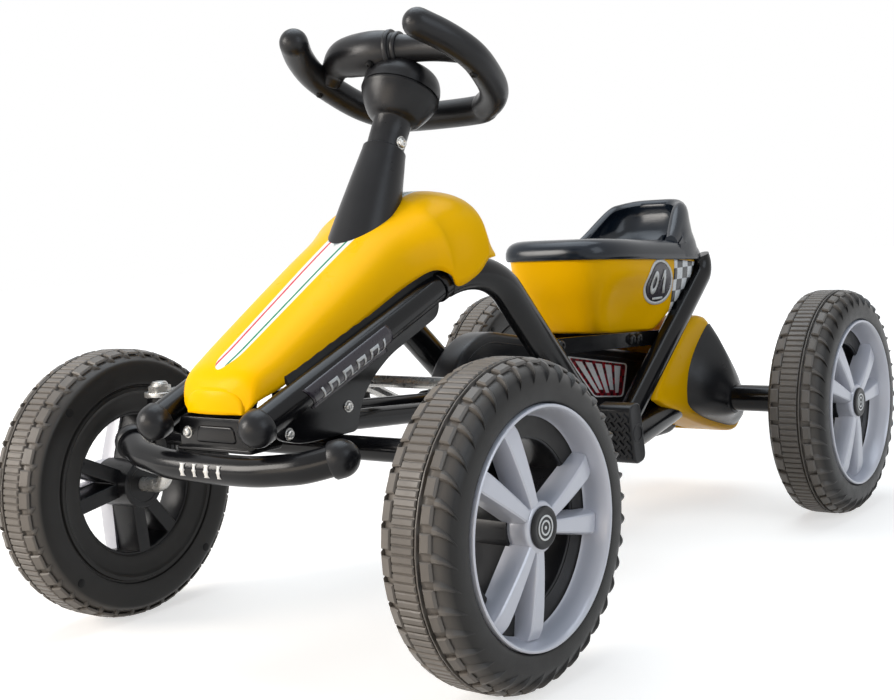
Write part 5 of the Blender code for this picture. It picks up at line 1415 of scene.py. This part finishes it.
def waveShapes():
    # a square wave along the side mark
    m, (a, b, c, d) = marks, marks["label"]
    bars = [(k, k + 1, m["low"] if k % 2 else m["high"]) for k in range(m["waves"])]
    spans = [(k0, k1, low, low + m["stroke"]) for k0, k1, low in bars]
    spans += [(k, k + m["post"], m["low"], m["high"] + m["stroke"]) for k in range(m["waves"] + 1)]
    for k0, k1, low, high in spans:
        t0, t1 = (m["waveStart"] + m["waveLength"] * k / m["waves"] for k in (k0, k1))
        (topA, topB), (lowA, lowB) = ([blended(p, q, t) for t in (t0, t1)] for p, q in ((a, b), (d, c)))
        yield sheet([blended(topA, lowA, low), blended(topB, lowB, low), blended(topB, lowB, high),
                     blended(topA, lowA, high)], 4, 5)


def buildMarks():
    (y, z), (halfY, halfZ) = roundel["at"], roundel["half"]
    flank, share = solidOf(tub), roundel["field"]
    for title, side, s in sides:
        ring = disc(y, z, halfY, halfZ, roundel["inner"], rings=1)
        label(f"roundelSeat{title}", printed(leaned(ring), flank, s), paint["white"])
        field = disc(y, z, halfY * share, halfZ * share, 0.02, rings=9)
        label(f"roundelFieldSeat{title}", printed(leaned(field), flank, s, 0.0003), paint["print"])
        number = together(*(printed(leaned(stroke), flank, s, 0.0010) for stroke in numberShapes(s)))
        label(f"numberSeat{title}", number, paint["white"])
        label(f"chequerSeat{title}", printed(sheet(marks["chequer"], 16, 16), flank, s, 0.00025),
              paint["chequer"], 0.0002)
        tube = frameParts[side]
        label(f"sideLabel{title}", printed(sheet(marks["label"], 36, 16), tube, s, 0.0004), paint["print"])
        waves = together(*(printed(wave, tube, s, 0.0009) for wave in waveShapes()))
        label(f"sideDashes{title}", waves, paint["white"])


def buildNoseBracket():
    low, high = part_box("nose_bracket")
    x, y0, y1, z0, z1 = high[0] - 0.0005, low[1], high[1], low[2], high[2]
    ahead = (1, 0, 0), (0, 0, 1), (0, -1, 0)
    # outline, corner, thickness, place, bevel, bevel steps
    plates = [([(-x, z0), (x, z0), (x, z1 - 0.002), (x - 0.010, z1 - 0.001), (-x + 0.010, z1 - 0.001),
                (-x, z1 - 0.002)], 0.004, 0.004, placeOn((0, y0 + 0.006, 0), *ahead), 0.0008, 2),
              ([(-x, y0 + 0.005), (x, y0 + 0.005), (x, y1), (-x, y1)], 0.003, 0.003,
               Matrix.Translation((0, 0, z1 - 0.0026)), 0.0008, 2),
              ([(-x, y0 - 0.0005), (x, y0 - 0.0005), (x, y1), (-x, y1)], 0.003, 0.003,
               Matrix.Translation((0, 0, z0 + 0.0016)), 0.0008, 2),
              ([(-0.021, z0 + 0.006), (0.021, z0 + 0.006), (0.018, z1 - 0.007), (-0.018, z1 - 0.007)], 0.004,
               0.0035, placeOn((0, y0 + 0.0045, 0), *ahead), 0.0015, 3)]
    web = [(y0 + 0.005, z0 + 0.001), (y1, z0 + 0.001), (y1, z1 - 0.002), (y0 + 0.005, z1 - 0.002)]
    plates += [(web, 0.002, 0.003, sideView(at), 0.0006, 2) for at in (-x + 0.0015, x - 0.0015)]
    shapes = [slab([softCorners(outline, corner)], *rest) for outline, corner, *rest in plates]
    piece("noseBracket", together(*shapes), "tube", "frame", "nose_bracket")


def boltHead():
    # pan head with a cross recess, top towards +Z, one unit across
    profile = [(0.02, 0.26), (0.12, 0.27), (0.20, 0.40), (0.30, 0.40), (0.42, 0.33), (0.49, 0.20),
               (0.50, 0.06), (0.62, 0.05), (0.64, 0.0), (0.60, -0.10)]
    return makeObject("boltHead", [(lathe(profile, steps=20), paint["zinc"])], 34)


def setBolts(name, body, slotName, material, size, spots):
    # spots: (place, direction) pairs
    head = boltHead()
    mesh = bpy.data.meshes.new(name)
    mesh.from_pydata([tuple(at) for at, _ in spots], [], [])
    aim = mesh.attributes.new("aim", "FLOAT_VECTOR", "POINT")
    aim.data.foreach_set("vector", [value for _, away in spots for value in Vector(away).normalized()])
    points = bpy.data.objects.new(name, mesh)
    scene.collection.objects.link(points)
    shape = shapeOf(runTree(points, boltsOnPoints, Bolt=head, Size=size, Material=material))
    bpy.data.objects.remove(head)
    obj = makeObject(name, [(shape, material)], 34)
    fit(obj, body, slotName)


# heads: size, then where they stand
bolts = {"frame": 0.0072, "seat": 0.0105, "neck": 0.0090, "wheel": 0.0058, "tubeX": 0.0566,
         "onTube": ((-0.2905, 0.1895), (-0.3560, 0.1790)), "seatX": 0.0459, "seatAt": (0.0300, 0.1800),
         "seatUp": -0.0805, "pair": (-0.014, 0.0006), "hangerX": 0.0476, "hanger": (0.045, 0.005),
         "noseX": 0.030, "noseIn": 0.0040, "neckAt": (0.0745, 0.0160)}


def buildBolts():
    b = bolts
    frameSpots, darkSpots = [], []
    for _, _, s in sides:
        away = (s, 0, 0)
        frameSpots += [(Vector((s * b["tubeX"], y, z)), away) for y, z in b["onTube"]]
        for y in b["seatAt"]:
            at = seatPlace @ Vector((0, y - seatPlace.translation.y, b["seatUp"]))
            darkSpots += [(Vector((s * b["seatX"], at.y + dy, at.z + dz)), away)
                          for dy, dz in ((0, 0), b["pair"])]
        crankY, crankZ = under["crank"]
        frameSpots.append((Vector((s * b["hangerX"], crankY + b["hanger"][0], crankZ + b["hanger"][1])),
                           away))
    low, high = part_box("nose_bracket")
    for x in (-b["noseX"], b["noseX"]):
        frameSpots.append((Vector((x, low[1] + b["noseIn"], (low[2] + high[2]) / 2)), (0, -1, 0)))
    setBolts("frameBolts", "frame", "zinc_steel", paint["zinc"], b["frame"], frameSpots)
    setBolts("seatBolts", "frame", "black_powder_coat", paint["tube"], b["seat"], darkSpots)
    along, out = b["neckAt"]
    neck = [(onColumn(along, 0.0, s * out), (s, 0, 0)) for s in (1, -1)]
    setBolts("neckBolt", "steering", "zinc_steel", paint["zinc"], b["neck"], neck)
    # the steering wheel's screw holes, drawn as near-black heads: painted shade in the holes
    plane, shift = steering["plane"], steering["shift"]
    cap = [(onColumn(plane + 0.0130 - 0.0168, shift - 0.0345 - 0.0075, -0.012), -lean - toward * 0.4)]
    cap += [(onColumn(plane - 0.0118, shift - 0.020, x), -lean) for x in (0.0835, -0.0835)]
    setBolts("wheelScrews", "steering", "black_plastic", paint["dark"], b["wheel"], cap)


frameParts = {side: solidOf(bpy.data.objects[f"sideTube{title}"]) for title, side, s in sides}
buildMarks()
buildNoseBracket()
buildBolts()
print("bolts and marks ready")

# CAD parts that stay, with finished surfaces
carried = {"tube": ("seat_frame", "column_bracket"),
           "zinc": ("steering_column", "tie_rod", "crankshaft", "chain", "chainring", "rear_sprocket",
                    "rear_axle", "axle_bearing_left", "axle_bearing_right"),
           "plastic": ("column_foot_bearing",)}
for finishName, nodeNames in carried.items():
    for nodeName in nodeNames:
        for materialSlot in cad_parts[nodeName].material_slots:
            materialSlot.material = paint[finishName]
print("carried parts ready")

# floor, light and camera
studio = {"floor": 7.0, "floorColour": (0.66, 0.61, 0.55), "floorGlow": 0.60, "sky": (0.62, 0.78, 1.0),
          "low": (0.92, 0.90, 0.88), "skyLight": 0.42, "glowFrom": 0.7, "glowTo": 1.8, "sensor": 36,
          "camera": (0.7263, -1.0527, 0.3265), "turn": 0.646,
          "rise": 0.0974, "roll": -0.0566, "lens": 54.86}


def seenRay(add, calc):
    # the backdrop as the camera, reflections and clear parts meet it
    path = add("ShaderNodeLightPath")
    through = calc("MAXIMUM", path.outputs["Is Glossy Ray"], path.outputs["Is Transmission Ray"])
    return calc("MAXIMUM", path.outputs["Is Camera Ray"], through)


def floorPaint():
    mat, shader, add, calc, feed = startMaterial("studio floor")
    where = add("ShaderNodeTexCoord").outputs["Object"]
    tone = add("ShaderNodeMapRange", {"Value": noise(add, where, 1.3, 2.0), "To Min": 0.985, "To Max": 1.0})
    tint = add("ShaderNodeVectorMath", {0: studio["floorColour"], "Scale": tone.outputs[0]},
               operation="SCALE")
    far = add("ShaderNodeVectorMath", {0: where}, operation="LENGTH").outputs["Value"]
    glow = add("ShaderNodeMapRange",
               {"Value": far, "From Min": studio["glowFrom"], "From Max": studio["glowTo"],
                "To Min": studio["floorGlow"], "To Max": 1.0})
    feed(shader, {"Base Color": tint.outputs[0], "Roughness": 0.6, "Specular IOR Level": 0.0,
                  "Emission Color": rgba((1, 1, 1)),
                  "Emission Strength": calc("MULTIPLY", seenRay(add, calc), glow.outputs[0])})
    return mat


def buildStudio():
    h = studio["floor"]
    plane = [(-h, -h, 0), (h, -h, 0), (h, h, 0), (-h, h, 0)], [(0, 1, 2, 3)]
    makeObject("studioFloor", [(plane, floorPaint())], recalc=False)
    world = bpy.data.worlds.new("studio world")
    scene.world = world
    world.use_nodes = True
    nodes = world.node_tree.nodes
    add, calc, feed = nodeMaker(world.node_tree)
    split = add("ShaderNodeSeparateXYZ", {"Vector": add("ShaderNodeTexCoord").outputs["Generated"]})
    height = add("ShaderNodeMapRange", {"Value": split.outputs["Z"], "From Min": -0.1, "From Max": 0.7})
    light = nodes["Background"]
    feed(light, {"Color": mixed(add, height.outputs[0], studio["low"], studio["sky"]),
                 "Strength": studio["skyLight"]})
    backdrop = add("ShaderNodeBackground", {"Color": rgba((1, 1, 1)), "Strength": 1.0})
    pick = add("ShaderNodeMixShader",
               {"Fac": seenRay(add, calc), 1: light.outputs[0], 2: backdrop.outputs[0]})
    feed(nodes["World Output"], {"Surface": pick.outputs[0]})


# name: where it stands, what it faces, size, power in watts, colour
lamps = {"topLight": ((-0.3, 0.2, 2.2), (0, 0, 0.2), (1.8, 1.8), 28, (0.80, 0.90, 1.0)),
         "leftLight": ((-1.5, -2.1, 1.15), (0, 0, 0.25), (1.2, 1.1), 56, (1.0, 0.95, 0.89)),
         "frontLight": ((-0.2, -2.4, 0.42), (0, 0, 0.2), (1.6, 0.7), 11, (1.0, 0.86, 0.70)),
         "rightLight": ((2.1, -0.4, 1.3), (0, 0, 0.2), (1.5, 1.2), 13, (0.80, 0.89, 1.0))}


def buildLamps():
    for name, (at, target, size, power, colour) in lamps.items():
        lamp = bpy.data.lights.new(name, "AREA")
        lamp.shape, lamp.size, lamp.size_y = "RECTANGLE", *size
        lamp.energy, lamp.color = power, colour
        obj = bpy.data.objects.new(name, lamp)
        obj.matrix_world = pointing(at, (Vector(at) - Vector(target)).normalized())
        scene.collection.objects.link(obj)


def buildCamera():
    turn, rise, roll = studio["turn"], studio["rise"], studio["roll"]
    back = Vector((math.sin(turn) * math.cos(rise), -math.cos(turn) * math.cos(rise), math.sin(rise)))
    right = (-back).cross(Vector((0, 0, 1))).normalized()
    up = right.cross(-back)
    level = right * math.cos(roll) + up * math.sin(roll)
    upright = up * math.cos(roll) - right * math.sin(roll)
    lens = bpy.data.cameras.new("camera")
    lens.lens, lens.sensor_width, lens.clip_start = studio["lens"], studio["sensor"], 0.01
    camera = bpy.data.objects.new("camera", lens)
    camera.matrix_world = placeOn(studio["camera"], level, upright, back)
    scene.collection.objects.link(camera)
    scene.camera = camera


buildStudio()
buildLamps()
buildCamera()
scene.view_settings.view_transform = "Standard"
print("studio ready")
